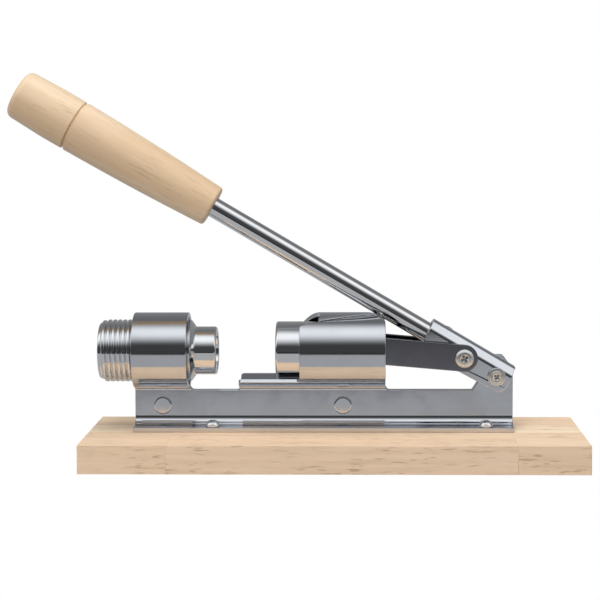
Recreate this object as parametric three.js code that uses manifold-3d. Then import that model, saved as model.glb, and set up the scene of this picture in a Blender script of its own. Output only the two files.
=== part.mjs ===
// Desktop lever nutcracker on a wooden base.
// Millimetres, +Z up, +X to the right, +Y to the back.
// The origin is the middle of the base's underside.

import * as THREE from "three";
import { mergeVertices } from "three/addons/utils/BufferGeometryUtils.js";
import Module from "manifold-3d";

const wasm = await Module();
wasm.setup();

// ---------------------------------------------------------------------------
// Driving dimensions
// ---------------------------------------------------------------------------

const fit = 0.3; // clearance between pieces that touch or slide

// Wooden base
const baseLength = 250;
const baseDepth = 85;
const baseHeight = 14;
const baseEdge = 1.5; // rounding of its edges

// Folded steel frame: a web of two layers with a foot flange on each side
const frameSheet = 2.4;
const frameSetback = 10.6; // its centre plane lies this far behind the middle of the base
const frameLeft = -102.6;
const layerGap = 0.4; // between the two layers of the web
const flangeFlat = 8.2; // flat width of each foot
const flangeBend = 4.5; // inside radius where a foot turns out
const barrelAxis = 40; // height of the barrels' axis above the base
const barrelBore = 34.4;
const neckBend = 1; // outside radius where a barrel runs into the web
const leftBarrelLength = 28;
const nutGapLength = 26; // open gap beside the left barrel
const nutGapCornerLeft = 3;
const nutGapCornerRight = 1.5;
const troughLength = 31.1; // half-open stretch of the right barrel
const troughEdgeAngle = 50; // its edges lie this far below the barrel's axis, in degrees
const rightBarrelLength = 43.6;
const windowCorner = 2.6;

// Ear that carries the lever's pivot
const pivotFromBarrel = 56.4; // from the right barrel's end
const pivotHeight = 27.4; // above the base
const earHalfWidth = 8.8;
const earTop = 37.8; // above the base
const earTopLeftRadius = 7;
const earFlat = 3.6; // the top is flat this far beyond the pivot, then slopes down
const earShoulder = 30.6; // height of the slope's lower end above the base
const earCorner = 1.8;
const earFoot = 3.2; // spread of the ear's foot beyond its side
const earFootRise = 5;

// Seam and notches in the top of the right barrel
const seamWidth = 0.6;
const leftNotchReach = 10.9;
const leftNotchHalfWidth = 12.9;
const rightNotchRoom = 1.1; // between the notch's end and the rod lying in it
const rightNotchHalfWidth = 10.7;
const rightNotchTip = 4.1;

// Rivets through the web and wood screws through the feet
const webRivetHeight = 11.9;
const webRivetFromLeft = 14.3;
const webRivetFromNotch = 21.9; // from the start of the right barrel
const rivetHeadRadius = 4.7;
const rivetHeadHeight = 1.3;
const rivetShankRadius = 1.8;
const baseScrewFromLeft = 40.7;
const baseScrewFromPivot = 5.6;
const baseScrewFromTip = 4; // from the edge of the foot
const baseScrewHeadRadius = 3.7;
const baseScrewHeadHeight = 2.1;
const baseScrewShankRadius = 1.7;
const baseScrewLength = 11; // below the head

// Threaded anvil and its bush
const anvilThreadRadius = 16;
const anvilOutside = 17.7; // thread standing out of the barrel at the left
const anvilInside = 1; // thread standing out of the barrel at the right
const anvilShoulder = 2.3; // length of the taper down to the neck
const anvilShoulderRadius = 13;
const anvilNeckRadius = 12.3;
const anvilNeckLength = 11.2;
const anvilEdge = 1.2;
const anvilCupRadius = 9.6;
const anvilCupDepth = 7;
const anvilSlotWidth = 3.2;
const anvilSlotDepth = 2.6;
const bushInset = 0.8; // behind each end of the barrel

// Ram
const ramNoseRadius = 14.9;
const ramNoseReach = 41.7; // from the ram pin to the nose
const ramCollarNear = 9; // from the ram pin to the near side of the collar
const ramCollarLength = 11;
const ramTongueReach = 9; // beyond the ram pin
const ramTongueHalfHeight = 12;
const ramTongueCorner = 4;
const ramCupRadius = 10;
const ramCupDepth = 6;
const ramEdge = 1.4;
const ramPinRise = 1.8; // ram pin above the barrels' axis at rest
const ramPinPlay = 4; // room that the pin has in the ram
const ramHoleShift = 0.95; // middle of that room behind the pin at rest
const ramHoleRise = 0.12;

// Lever: angle above the horizontal at rest, and the rod's line above the pins
const leverAngle = 30.6;
const crank = 19.1; // from the lever's pivot to the link pin
const rodRise = 1;
const rodRadius = 5.15;
const rodStart = 24; // from the pivot
const rodInGrip = 60;
const gripStart = 168; // from the pivot

// Yoke: U-shaped sheet around the rod and the ear
const yokeSheet = 2.3;
const yokeLength = 42; // from the pivot to its open end
const yokeBack = 7; // beyond the pivot
const yokeBelow = 7.6; // below the line of the pins
const yokeBend = 0.6; // inside radius of its corners
const yokeMouth = 11; // top cut away this far from the pivot
const yokeEndDrop = 1.3; // how far the sides' top edges fall towards the end
const yokeEndRise = 0.8; // how far their lower edges rise
const yokeEndCorner = 1.2;
const yokeRivetAt = 32.6; // from the pivot
const yokeRivetHeadRadius = 2.6;
const yokeRivetHeadHeight = 0.9;
const yokeRivetShankRadius = 1.5;

// Links between the lever and the ram
const linkSheet = 2.5;
const linkHalfHeight = 6.85;
const linkLength = 54.3;
const ramPinRadius = 2.5;
const ramPinHeadRadius = 3.8;
const ramPinHeadHeight = 1;

// Two-piece posts and screws of the pivot and the link pin
const postRadius = 3;
const postBore = 1.9;
const pinHeadRadius = 4.8;
const pinHeadHeight = 2.2;
const pinScrewRadius = 1.5;
const pinScrewLength = 8;
const recessDepth = 1.2;
const spacerRadius = 5.2;

// Wooden grip
const gripLength = 115;
const gripEndRadius = 12.8; // at the free end
const gripBellyRadius = 13.4; // at the groove
const gripNeckRadius = 10.7; // at the rod
const gripBulge = 0.5; // swell between the groove and the rod
const gripGrooveAt = 33.3; // from the free end
const gripGrooveWidth = 0.9;
const gripGrooveDepth = 0.7;
const gripEdge = 2.6;

// ---------------------------------------------------------------------------
// Places worked out from them
// ---------------------------------------------------------------------------

const webInner = layerGap / 2;
const webOuter = webInner + frameSheet;
const barrelRadius = barrelBore / 2 + frameSheet;
// Top of the web above the base, just under the bends that lead into the barrels
const webHeight = barrelAxis - 0.02 -
  Math.sqrt((barrelRadius + neckBend) ** 2 - (webOuter + neckBend) ** 2);
const footTip = webOuter + flangeBend + flangeFlat;
const footScrewY = footTip - baseScrewFromTip;

const nutGapStart = frameLeft + leftBarrelLength;
const troughStart = nutGapStart + nutGapLength;
const rightBarrelStart = troughStart + troughLength;
const windowStart = rightBarrelStart + rightBarrelLength;
const pivotX = windowStart + pivotFromBarrel;
const frameRight = pivotX + earHalfWidth;
const aboveFrame = barrelAxis + barrelRadius + 5;
const besideFrame = barrelRadius + 5;

const anvilLeft = frameLeft - anvilOutside;
const anvilThreadEnd = nutGapStart + anvilInside;

const yokeInner = rodRadius + fit; // half width inside
const yokeOuter = yokeInner + yokeSheet;
const yokeTop = rodRise + rodRadius + fit + yokeSheet;
const linkInner = yokeOuter + fit;
const linkOuter = linkInner + linkSheet;
const ramTongueHalf = linkInner - fit;

const turn = THREE.MathUtils.degToRad;
const linkPinX = pivotX - crank * Math.cos(turn(leverAngle));
const linkPinZ = pivotHeight + crank * Math.sin(turn(leverAngle));
const ramPinZ = barrelAxis + ramPinRise;
const linkTilt = Math.asin((ramPinZ - linkPinZ) / linkLength);
const ramPinX = linkPinX - linkLength * Math.cos(linkTilt);

// The right barrel's notch ends a little beyond where the rod's underside meets the barrel's top
const rodUnderside = rodRadius - rodRise;
const rodReachToBarrel =
  (barrelAxis + barrelRadius - pivotHeight + rodUnderside * Math.cos(turn(leverAngle))) /
  Math.sin(turn(leverAngle));
const rightNotchReach = windowStart + rightNotchRoom - pivotX +
  rodReachToBarrel * Math.cos(turn(leverAngle)) + rodUnderside * Math.sin(turn(leverAngle));

// ---------------------------------------------------------------------------
// Shape helpers
// ---------------------------------------------------------------------------

// Points of an arc in degrees, a point about every `step` degrees.
function arc(x, y, radius, from, to, step = 7.5) {
  const count = Math.max(2, Math.ceil(Math.abs(to - from) / step));
  const points = [];
  for (let i = 0; i <= count; i += 1) {
    const angle = turn(from + ((to - from) * i) / count);
    points.push([x + radius * Math.cos(angle), y + radius * Math.sin(angle)]);
  }
  return points;
}

// An outline from corners [x, y] or [x, y, radius]; a radius rounds its corner.
function rounded(corners, steps = 4) {
  const points = [];
  corners.forEach(([x, y, radius], i) => {
    if (!radius) {
      points.push([x, y]);
      return;
    }
    const here = new THREE.Vector2(x, y);
    const before = new THREE.Vector2(...corners.at(i - 1).slice(0, 2)).sub(here).normalize();
    const after = new THREE.Vector2(...corners[(i + 1) % corners.length].slice(0, 2)).sub(here).normalize();
    const half = Math.acos(before.dot(after)) / 2;
    const middle = before.clone().add(after).normalize().multiplyScalar(radius / Math.sin(half)).add(here);
    const from = here.clone().addScaledVector(before, radius / Math.tan(half)).sub(middle);
    const to = here.clone().addScaledVector(after, radius / Math.tan(half)).sub(middle);
    const sweep = Math.atan2(from.cross(to), from.dot(to));
    for (let k = 0; k <= steps; k += 1) {
      const spoke = from.clone().rotateAround(new THREE.Vector2(), (sweep * k) / steps);
      points.push([middle.x + spoke.x, middle.y + spoke.y]);
    }
  });
  return points;
}

function mirrored(points) {
  return points.map(([x, y]) => [-x, y]).reverse();
}

function solidOf(geometry) {
  const bare = geometry.clone();
  bare.deleteAttribute("normal");
  bare.deleteAttribute("uv");
  const merged = mergeVertices(bare, 1e-4);
  const corners = [];
  for (let i = 0; i < merged.index.count; i += 3) {
    const [a, b, c] = [0, 1, 2].map((k) => merged.index.getX(i + k));
    if (a !== b && b !== c && c !== a) {
      corners.push(a, b, c);
    }
  }
  return new wasm.Manifold(new wasm.Mesh({
    numProp: 3,
    vertProperties: merged.attributes.position.array,
    triVerts: new Uint32Array(corners),
  }));
}

function geometryOf(solid) {
  const mesh = solid.getMesh();
  const geometry = new THREE.BufferGeometry();
  geometry.setAttribute("position", new THREE.BufferAttribute(mesh.vertProperties, 3));
  geometry.setIndex(new THREE.BufferAttribute(mesh.triVerts, 1));
  return geometry;
}

function extruded(points, depth) {
  const shape = new THREE.Shape(points.map(([x, y]) => new THREE.Vector2(x, y)));
  return new THREE.ExtrudeGeometry(shape, { depth, bevelEnabled: false });
}

// An [x, z] outline, solid from y = `from` to y = `to`.
function sidePlate(points, from, to) {
  return solidOf(extruded(points, to - from).rotateX(Math.PI / 2).translate(0, to, 0));
}

// An [x, y] outline, solid from z = `from` to z = `to`.
function topPlate(points, from, to) {
  return solidOf(extruded(points, to - from).translate(0, 0, from));
}

// A [y, z] section, solid from x = `from` to x = `to`.
function bar(points, from, to) {
  const axes = new THREE.Matrix4().makeBasis(
    new THREE.Vector3(0, 1, 0),
    new THREE.Vector3(0, 0, 1),
    new THREE.Vector3(1, 0, 0),
  );
  return solidOf(extruded(points, to - from).applyMatrix4(axes).translate(from, 0, 0));
}

// A turned piece from [along, radius] points, running along "x", "y" or "z".
function turned(points, along, segments = 20) {
  const profile = points.map(([distance, radius]) => new THREE.Vector2(radius, distance));
  const geometry = new THREE.LatheGeometry(profile, segments);
  if (along === "x") {
    geometry.rotateZ(-Math.PI / 2);
  }
  if (along === "z") {
    geometry.rotateX(Math.PI / 2);
  }
  return solidOf(geometry);
}

function cylinder(radius, from, to, along, segments = 20) {
  return turned([[from, 0], [from, radius], [to, radius], [to, 0]], along, segments);
}

function box(x0, x1, y0, y1, z0, z1) {
  return topPlate([[x0, y0], [x1, y0], [x1, y1], [x0, y1]], z0, z1);
}

// A cross recess for a driver, cut downwards from z = 0.
function crossRecess(radius) {
  const blade = radius * 0.2;
  const reach = radius * 0.62;
  const arm = box(-reach, reach, -blade, blade, -recessDepth, 1);
  return arm.add(box(-blade, blade, -reach, reach, -recessDepth, 1));
}

const finishes = {
  wood: { color: 0xe3cba6, roughness: 0.55, metalness: 0 },
  plate: { color: 0xc9ccd2, roughness: 0.25, metalness: 1 },
  chrome: { color: 0xe6e8ec, roughness: 0.08, metalness: 1 },
  darkSteel: { color: 0x4b5058, roughness: 0.3, metalness: 1 },
  screwSteel: { color: 0xb7bac0, roughness: 0.35, metalness: 1 },
};

function piece(name, solid, finish) {
  const mesh = new THREE.Mesh(geometryOf(solid), new THREE.MeshStandardMaterial(finishes[finish]));
  mesh.name = name;
  return mesh;
}

// ---------------------------------------------------------------------------
// Wooden base and the screws in it
// ---------------------------------------------------------------------------

const baseScrewXs = [frameLeft + baseScrewFromLeft, pivotX - baseScrewFromPivot];

function baseBoard() {
  const half = [baseLength / 2 - baseEdge, baseDepth / 2 - baseEdge];
  const outline = new THREE.Shape([
    new THREE.Vector2(-half[0], -half[1]),
    new THREE.Vector2(half[0], -half[1]),
    new THREE.Vector2(half[0], half[1]),
    new THREE.Vector2(-half[0], half[1]),
  ]);
  const block = new THREE.ExtrudeGeometry(outline, {
    depth: baseHeight - 2 * baseEdge,
    bevelThickness: baseEdge,
    bevelSize: baseEdge,
    bevelSegments: 3,
  });
  let board = solidOf(block.translate(0, 0, baseEdge));
  const holeDepth = baseScrewLength - frameSheet + 2 * fit;
  for (const x of baseScrewXs) {
    for (const side of [-1, 1]) {
      const hole = cylinder(baseScrewShankRadius + fit, baseHeight - holeDepth, baseHeight + 1, "z", 16);
      board = board.subtract(hole.translate([x, frameSetback + side * footScrewY, 0]));
    }
  }
  return piece("base_board", board, "wood");
}

// Pan-head wood screw standing on z = 0, its shank pointing down.
function baseScrew(name) {
  const head = baseScrewHeadHeight;
  const tip = baseScrewLength - fit;
  const screw = turned([
    [-tip, 0],
    [-tip + baseScrewShankRadius * 1.5, baseScrewShankRadius],
    [0, baseScrewShankRadius],
    [0, baseScrewHeadRadius],
    [head * 0.45, baseScrewHeadRadius],
    [head * 0.85, baseScrewHeadRadius * 0.78],
    [head, baseScrewHeadRadius * 0.4],
    [head, 0],
  ], "z", 16);
  const recess = crossRecess(baseScrewHeadRadius).translate([0, 0, head]);
  return piece(name, screw.subtract(recess), "screwSteel");
}

// ---------------------------------------------------------------------------
// Folded frame
// ---------------------------------------------------------------------------

// Half of the folded sheet's section on the +Y side: its outer face, then its inner face.
function frameSectionHalves() {
  const footY = webOuter + flangeBend;
  const footZ = frameSheet + flangeBend;
  const neckY = webOuter + neckBend;
  const neckZ = barrelAxis - Math.sqrt((barrelRadius + neckBend) ** 2 - neckY ** 2);
  const towardsNeck = THREE.MathUtils.radToDeg(Math.atan2(neckZ - barrelAxis, neckY));
  const towardsAxis = towardsNeck + 180;
  const outer = [
    [footTip, 0],
    [footTip, frameSheet],
    ...arc(footY, footZ, flangeBend, 270, 180, 20),
    ...arc(neckY, neckZ, neckBend, 180, towardsAxis, 20),
    ...arc(0, barrelAxis, barrelRadius, towardsNeck, 90).slice(1),
  ];
  const inner = [
    ...arc(footY, footZ, flangeBend + frameSheet, 270, 180, 20),
    ...arc(neckY, neckZ, neckBend + frameSheet, 180, towardsAxis, 20),
    ...arc(0, barrelAxis, barrelBore / 2, towardsNeck, 90).slice(1),
  ];
  return { outer, inner };
}

function foldedSheet() {
  const { outer, inner } = frameSectionHalves();
  const section = [
    ...outer,
    ...mirrored(outer).slice(1),
    ...mirrored(inner).reverse(),
    ...[...inner].reverse().slice(1),
  ];
  return bar(section, frameLeft, frameRight);
}

// What is missing above the web: the nut gap, the trough's open top and the window.
function frameOpenings() {
  const gap = rounded([
    [nutGapStart, aboveFrame],
    [nutGapStart, webHeight, nutGapCornerLeft],
    [troughStart, webHeight, nutGapCornerRight],
    [troughStart, aboveFrame],
  ]);
  const window = rounded([
    [windowStart, aboveFrame],
    [windowStart, webHeight, windowCorner],
    [frameRight + 1, webHeight],
    [frameRight + 1, aboveFrame],
  ]);
  const troughEdge = barrelAxis - besideFrame * Math.tan(turn(troughEdgeAngle));
  const troughTop = bar([
    [0, barrelAxis],
    [besideFrame, troughEdge],
    [besideFrame, aboveFrame],
    [-besideFrame, aboveFrame],
    [-besideFrame, troughEdge],
  ], troughStart - 1, rightBarrelStart);
  return sidePlate(gap, -besideFrame, besideFrame)
    .add(sidePlate(window, -besideFrame, besideFrame))
    .add(troughTop);
}

// The two ends of the seam on top of the right barrel, and the seam between them.
function barrelNotches() {
  const notchDepth = barrelAxis + ramNoseRadius * 0.5;
  const left = rightBarrelStart;
  const right = windowStart;
  const leftNotch = topPlate([
    [left - 1, -leftNotchHalfWidth],
    [left + leftNotchReach * 0.6, -leftNotchHalfWidth * 0.88],
    [left + leftNotchReach, leftNotchHalfWidth * 0.16],
    [left - 1, leftNotchHalfWidth],
  ], notchDepth, aboveFrame);
  const rightNotch = topPlate([
    [right + 1, -rightNotchHalfWidth],
    [right - rightNotchReach, -rightNotchTip],
    [right - rightNotchReach, rightNotchTip],
    [right + 1, rightNotchHalfWidth],
  ], notchDepth, aboveFrame);
  const seamFrom = new THREE.Vector2(left + leftNotchReach * 0.55, -leftNotchHalfWidth * 0.86);
  const seamTo = new THREE.Vector2(right - rightNotchReach * 0.9, -rightNotchTip);
  const sag = new THREE.Vector2((seamFrom.x + seamTo.x) / 2, seamFrom.y * 0.88);
  const line = new THREE.QuadraticBezierCurve(seamFrom, sag, seamTo).getPoints(6);
  const seam = topPlate([
    ...line.map(({ x, y }) => [x, y - seamWidth / 2]),
    ...line.map(({ x, y }) => [x, y + seamWidth / 2]).reverse(),
  ], barrelAxis, aboveFrame);
  return leftNotch.add(rightNotch).add(seam);
}

const webRivetXs = [frameLeft + webRivetFromLeft, rightBarrelStart + webRivetFromNotch];

function frame() {
  const earLeft = pivotX - earHalfWidth;
  const ear = rounded([
    [earLeft - earFoot, webHeight],
    [earLeft, webHeight + earFootRise],
    [earLeft, earTop, earTopLeftRadius],
    [pivotX + earFlat, earTop, earCorner],
    [frameRight, earShoulder, earCorner],
    [frameRight, webHeight],
    [pivotX, webHeight - 2 * frameSheet],
  ]);
  let sheet = foldedSheet()
    .subtract(frameOpenings())
    .subtract(barrelNotches())
    .add(sidePlate(ear, webInner, webOuter))
    .add(sidePlate(ear, -webOuter, -webInner));
  for (const x of webRivetXs) {
    const hole = cylinder(rivetShankRadius + fit, -footTip, footTip, "y", 16);
    sheet = sheet.subtract(hole.translate([x, 0, webRivetHeight]));
  }
  const pivotHole = cylinder(postRadius + fit, -footTip, footTip, "y");
  sheet = sheet.subtract(pivotHole.translate([pivotX, 0, pivotHeight]));
  for (const x of baseScrewXs) {
    for (const side of [-1, 1]) {
      const hole = cylinder(baseScrewShankRadius + fit, -1, frameSheet + 1, "z", 16);
      sheet = sheet.subtract(hole.translate([x, side * footScrewY, 0]));
    }
  }
  return piece("frame", sheet, "plate");
}

// Round-head rivet across the web, centred on y = 0.
function webRivet(name) {
  const seat = webOuter + fit;
  const top = seat + rivetHeadHeight;
  const side = [
    [seat, rivetShankRadius],
    [seat, rivetHeadRadius],
    [seat + rivetHeadHeight * 0.4, rivetHeadRadius * 0.95],
    [seat + rivetHeadHeight * 0.8, rivetHeadRadius * 0.7],
    [top, rivetHeadRadius * 0.35],
    [top, 0],
  ];
  const other = side.map(([along, radius]) => [-along, radius]).reverse();
  return piece(name, turned([...other, ...side], "y"), "plate");
}

// ---------------------------------------------------------------------------
// Anvil, bush and ram
// ---------------------------------------------------------------------------

function anvilBush() {
  const inner = anvilThreadRadius + fit;
  const outer = barrelBore / 2 - fit / 2;
  const from = frameLeft + bushInset;
  const to = nutGapStart - bushInset;
  const ring = cylinder(outer, from, to, "x", 36).subtract(cylinder(inner, from - 1, to + 1, "x", 36));
  return piece("anvil_bush", ring, "darkSteel");
}

// Hollow end of a jaw: a shallow bowl from its rim at x = 0 to `depth` behind it.
function bowl(radius, depth, direction) {
  const sphere = (radius ** 2 + depth ** 2) / (2 * depth);
  const opening = THREE.MathUtils.radToDeg(Math.asin(radius / sphere));
  const swing = depth > sphere ? 180 - opening : opening;
  return arc(0, 0, 1, 0, swing, 12).map(([cos, sin]) => [
    -direction * (depth - sphere * (1 - cos)),
    sphere * sin,
  ]);
}

function anvilScrew() {
  const rim = anvilThreadEnd + anvilShoulder + anvilNeckLength;
  const hollow = bowl(anvilCupRadius, anvilCupDepth, 1).map(([x, radius]) => [rim + x, radius]);
  const body = turned([
    [anvilLeft, 0],
    [anvilLeft, anvilThreadRadius - anvilEdge],
    [anvilLeft + anvilEdge, anvilThreadRadius],
    [anvilThreadEnd, anvilThreadRadius],
    [anvilThreadEnd + anvilShoulder, anvilShoulderRadius],
    [anvilThreadEnd + anvilShoulder, anvilNeckRadius],
    [rim - anvilEdge, anvilNeckRadius],
    [rim - anvilEdge * 0.3, anvilNeckRadius - anvilEdge * 0.3],
    [rim, anvilNeckRadius - anvilEdge],
    ...hollow.reverse(),
  ], "x", 36);
  const slot = box(
    anvilLeft - 1,
    anvilLeft + anvilSlotDepth,
    -anvilSlotWidth / 2,
    anvilSlotWidth / 2,
    -anvilThreadRadius - 1,
    anvilThreadRadius + 1,
  );
  return piece("anvil_screw", body.subtract(slot), "chrome");
}

function ram() {
  const nose = ramPinX - ramNoseReach;
  const collarEnd = ramPinX - ramCollarNear;
  const collarStart = collarEnd - ramCollarLength;
  const collarRadius = barrelBore / 2 - fit;
  const hollow = bowl(ramCupRadius, ramCupDepth, -1).map(([x, radius]) => [nose + x, radius]);
  const body = turned([
    ...hollow,
    [nose, ramNoseRadius - ramEdge],
    [nose + ramEdge * 0.3, ramNoseRadius - ramEdge * 0.3],
    [nose + ramEdge, ramNoseRadius],
    [collarStart, ramNoseRadius],
    [collarStart, collarRadius],
    [collarEnd, collarRadius],
    [collarEnd, 0],
  ], "x", 36);
  const tongueEnd = ramPinX + ramTongueReach;
  const tongue = sidePlate(rounded([
    [collarEnd - 1, -ramTongueHalfHeight],
    [tongueEnd, -ramTongueHalfHeight, ramTongueCorner],
    [tongueEnd, ramTongueHalfHeight, ramTongueCorner],
    [collarEnd - 1, ramTongueHalfHeight],
  ]), -ramTongueHalf, ramTongueHalf);
  const hole = cylinder(ramPinRadius + ramPinPlay, -barrelBore, barrelBore, "y", 24)
    .translate([ramPinX - ramHoleShift, 0, ramPinRise + ramHoleRise]);
  return piece("ram", body.add(tongue).subtract(hole), "chrome");
}

function ramPin() {
  const seat = linkOuter + fit;
  const end = seat + ramPinHeadHeight;
  return piece("ram_pin", turned([
    [-end, 0],
    [-end, ramPinHeadRadius],
    [-seat, ramPinHeadRadius],
    [-seat, ramPinRadius],
    [seat, ramPinRadius],
    [seat, ramPinHeadRadius],
    [end, ramPinHeadRadius],
    [end, 0],
  ], "y", 20), "darkSteel");
}

// ---------------------------------------------------------------------------
// Links and the two-piece pins
// ---------------------------------------------------------------------------

// A flat link from the link pin at (0, 0) to the ram pin at (-linkLength, 0).
function link(name, side) {
  const outline = [
    ...arc(0, 0, linkHalfHeight, -90, 90, 12),
    ...arc(-linkLength, 0, linkHalfHeight, 90, 270, 12),
  ];
  const near = side * linkInner;
  const far = side * linkOuter;
  const plate = sidePlate(outline, Math.min(near, far), Math.max(near, far));
  const pinHole = cylinder(postRadius + fit, -linkOuter - 1, linkOuter + 1, "y");
  const ramHole = cylinder(ramPinRadius + fit, -linkOuter - 1, linkOuter + 1, "y");
  return piece(name, plate.subtract(pinHole).subtract(ramHole.translate([-linkLength, 0, 0])), "darkSteel");
}

// Hollow post with its head at the back; `reach` is the outside of what it holds.
function post(name, reach) {
  const seat = reach + fit;
  const body = turned([
    [-reach, 0],
    [-reach, postRadius],
    [seat, postRadius],
    [seat, pinHeadRadius],
    [seat + pinHeadHeight * 0.7, pinHeadRadius],
    [seat + pinHeadHeight, pinHeadRadius - pinHeadHeight * 0.3],
    [seat + pinHeadHeight, 0],
  ], "y");
  const bore = cylinder(postBore, -reach - 1, -reach + pinScrewLength + 1, "y", 16);
  return piece(name, body.subtract(bore), "screwSteel");
}

// Screw with its head at the front, turned into the post's bore.
function pinScrew(name, reach) {
  const seat = -reach - fit;
  const head = turned([
    [seat - pinHeadHeight, 0],
    [seat - pinHeadHeight, pinHeadRadius * 0.5],
    [seat - pinHeadHeight * 0.8, pinHeadRadius * 0.85],
    [seat - pinHeadHeight * 0.4, pinHeadRadius],
    [seat, pinHeadRadius],
    [seat, pinScrewRadius],
    [seat + pinScrewLength, pinScrewRadius],
    [seat + pinScrewLength, 0],
  ], "y");
  const recess = crossRecess(pinHeadRadius).rotate([90, 0, 0]).translate([0, seat - pinHeadHeight, 0]);
  return piece(name, head.subtract(recess), "screwSteel");
}

function spacer(name, side) {
  const from = webOuter + fit;
  const to = yokeInner - fit;
  const ring = cylinder(spacerRadius, from, to, "y").subtract(cylinder(postRadius + fit, from - 1, to + 1, "y"));
  return piece(name, side > 0 ? ring : ring.mirror([0, 1, 0]), "screwSteel");
}

// ---------------------------------------------------------------------------
// Lever: its own frame has the pivot at (0, 0) and the rod running towards -X
// ---------------------------------------------------------------------------

function yoke() {
  const corner = yokeBend + yokeSheet;
  const section = rounded([
    [-yokeOuter, -yokeBelow],
    [-yokeInner, -yokeBelow],
    [-yokeInner, yokeTop - yokeSheet, yokeBend],
    [yokeInner, yokeTop - yokeSheet, yokeBend],
    [yokeInner, -yokeBelow],
    [yokeOuter, -yokeBelow],
    [yokeOuter, yokeTop, corner],
    [-yokeOuter, yokeTop, corner],
  ]);
  const side = [
    [-yokeLength + yokeEndCorner, -yokeBelow],
    [-crank, -yokeBelow],
    [yokeBack - yokeEndCorner, -yokeBelow + yokeEndRise],
    [yokeBack, yokeTop - yokeEndDrop - 2 * yokeEndCorner],
    [yokeBack - yokeEndCorner, yokeTop - yokeEndDrop],
    [-yokeMouth, yokeTop],
    [-yokeLength + yokeEndCorner, yokeTop],
    [-yokeLength, yokeTop - 2 * yokeEndCorner],
  ];
  const mouth = box(-yokeMouth, yokeBack + 1, -yokeInner, yokeInner, 0, yokeTop + 1);
  let channel = bar(section, -yokeLength - yokeEndCorner, yokeBack + 1)
    .intersect(sidePlate(side, -yokeOuter - 1, yokeOuter + 1))
    .subtract(mouth);
  for (const x of [0, -crank]) {
    channel = channel.subtract(cylinder(postRadius + fit, -yokeOuter - 1, yokeOuter + 1, "y").translate([x, 0, 0]));
  }
  const rivetHole = cylinder(yokeRivetShankRadius + fit, 0, yokeTop + 1, "z", 16);
  return piece("yoke", channel.subtract(rivetHole.translate([-yokeRivetAt, 0, 0])), "plate");
}

function yokeRivet() {
  const seat = yokeTop + fit;
  const rivet = turned([
    [rodRise - rodRadius + fit, 0],
    [rodRise - rodRadius + fit, yokeRivetShankRadius],
    [seat, yokeRivetShankRadius],
    [seat, yokeRivetHeadRadius],
    [seat + yokeRivetHeadHeight * 0.6, yokeRivetHeadRadius * 0.8],
    [seat + yokeRivetHeadHeight, yokeRivetHeadRadius * 0.3],
    [seat + yokeRivetHeadHeight, 0],
  ], "z", 16);
  return piece("yoke_rivet", rivet.translate([-yokeRivetAt, 0, 0]), "screwSteel");
}

function leverRod() {
  const end = gripStart + rodInGrip;
  const rod = turned([
    [-end, 0],
    [-end, rodRadius - 1],
    [-end + 1, rodRadius],
    [-rodStart - 1, rodRadius],
    [-rodStart, rodRadius - 1],
    [-rodStart, 0],
  ], "x", 24).translate([0, 0, rodRise]);
  const rivetHole = cylinder(yokeRivetShankRadius + fit, -rodRadius, 2 * rodRadius, "z", 16);
  return piece("lever_rod", rod.subtract(rivetHole.translate([-yokeRivetAt, 0, 0])), "chrome");
}

function handleGrip() {
  const free = -gripStart - gripLength;
  const groove = free + gripGrooveAt;
  const taper = [];
  const steps = 6;
  for (let i = 1; i <= steps; i += 1) {
    const share = i / steps;
    const radius = gripBellyRadius + (gripNeckRadius - gripBellyRadius) * share;
    const x = groove + gripGrooveWidth + (-gripStart - gripEdge * 0.5 - groove - gripGrooveWidth) * share;
    taper.push([x, radius + gripBulge * Math.sin(Math.PI * share)]);
  }
  const body = turned([
    [free, 0],
    [free, gripEndRadius - gripEdge],
    [free + gripEdge * 0.3, gripEndRadius - gripEdge * 0.3],
    [free + gripEdge, gripEndRadius],
    [groove - gripGrooveWidth, gripBellyRadius],
    [groove, gripBellyRadius - gripGrooveDepth],
    [groove + gripGrooveWidth, gripBellyRadius],
    ...taper,
    [-gripStart, gripNeckRadius - gripEdge * 0.5],
    [-gripStart, 0],
  ], "x", 32).translate([0, 0, rodRise]);
  const boreDepth = rodInGrip + 2 * fit;
  const bore = cylinder(rodRadius + fit, -gripStart - boreDepth, -gripStart + 1, "x", 24);
  return piece("handle_grip", body.subtract(bore.translate([0, 0, rodRise])), "wood");
}

// ---------------------------------------------------------------------------
// Assembly
// ---------------------------------------------------------------------------

function placed(mesh, x, y, z) {
  mesh.position.set(x, y, z);
  return mesh;
}

// Everything on top of the base, with z = 0 on the base's top face.
function mechanism() {
  const works = new THREE.Group();
  works.position.set(0, frameSetback, baseHeight);
  works.add(frame());
  works.add(placed(webRivet("frame_rivet_left"), webRivetXs[0], 0, webRivetHeight));
  works.add(placed(webRivet("frame_rivet_right"), webRivetXs[1], 0, webRivetHeight));
  ["left", "right"].forEach((place, i) => {
    for (const [row, side] of [["front", -1], ["rear", 1]]) {
      const screw = baseScrew(`base_screw_${row}_${place}`);
      works.add(placed(screw, baseScrewXs[i], side * footScrewY, frameSheet + fit));
    }
  });
  works.add(placed(anvilBush(), 0, 0, barrelAxis));
  works.add(placed(anvilScrew(), 0, 0, barrelAxis));
  works.add(placed(ram(), 0, 0, barrelAxis));
  works.add(linkage());
  works.add(lever());
  return works;
}

function linkage() {
  const links = new THREE.Group();
  links.position.set(linkPinX, 0, linkPinZ);
  links.rotation.y = linkTilt;
  links.add(link("link_front", -1));
  links.add(link("link_rear", 1));
  links.add(placed(ramPin(), -linkLength, 0, 0));
  return links;
}

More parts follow.
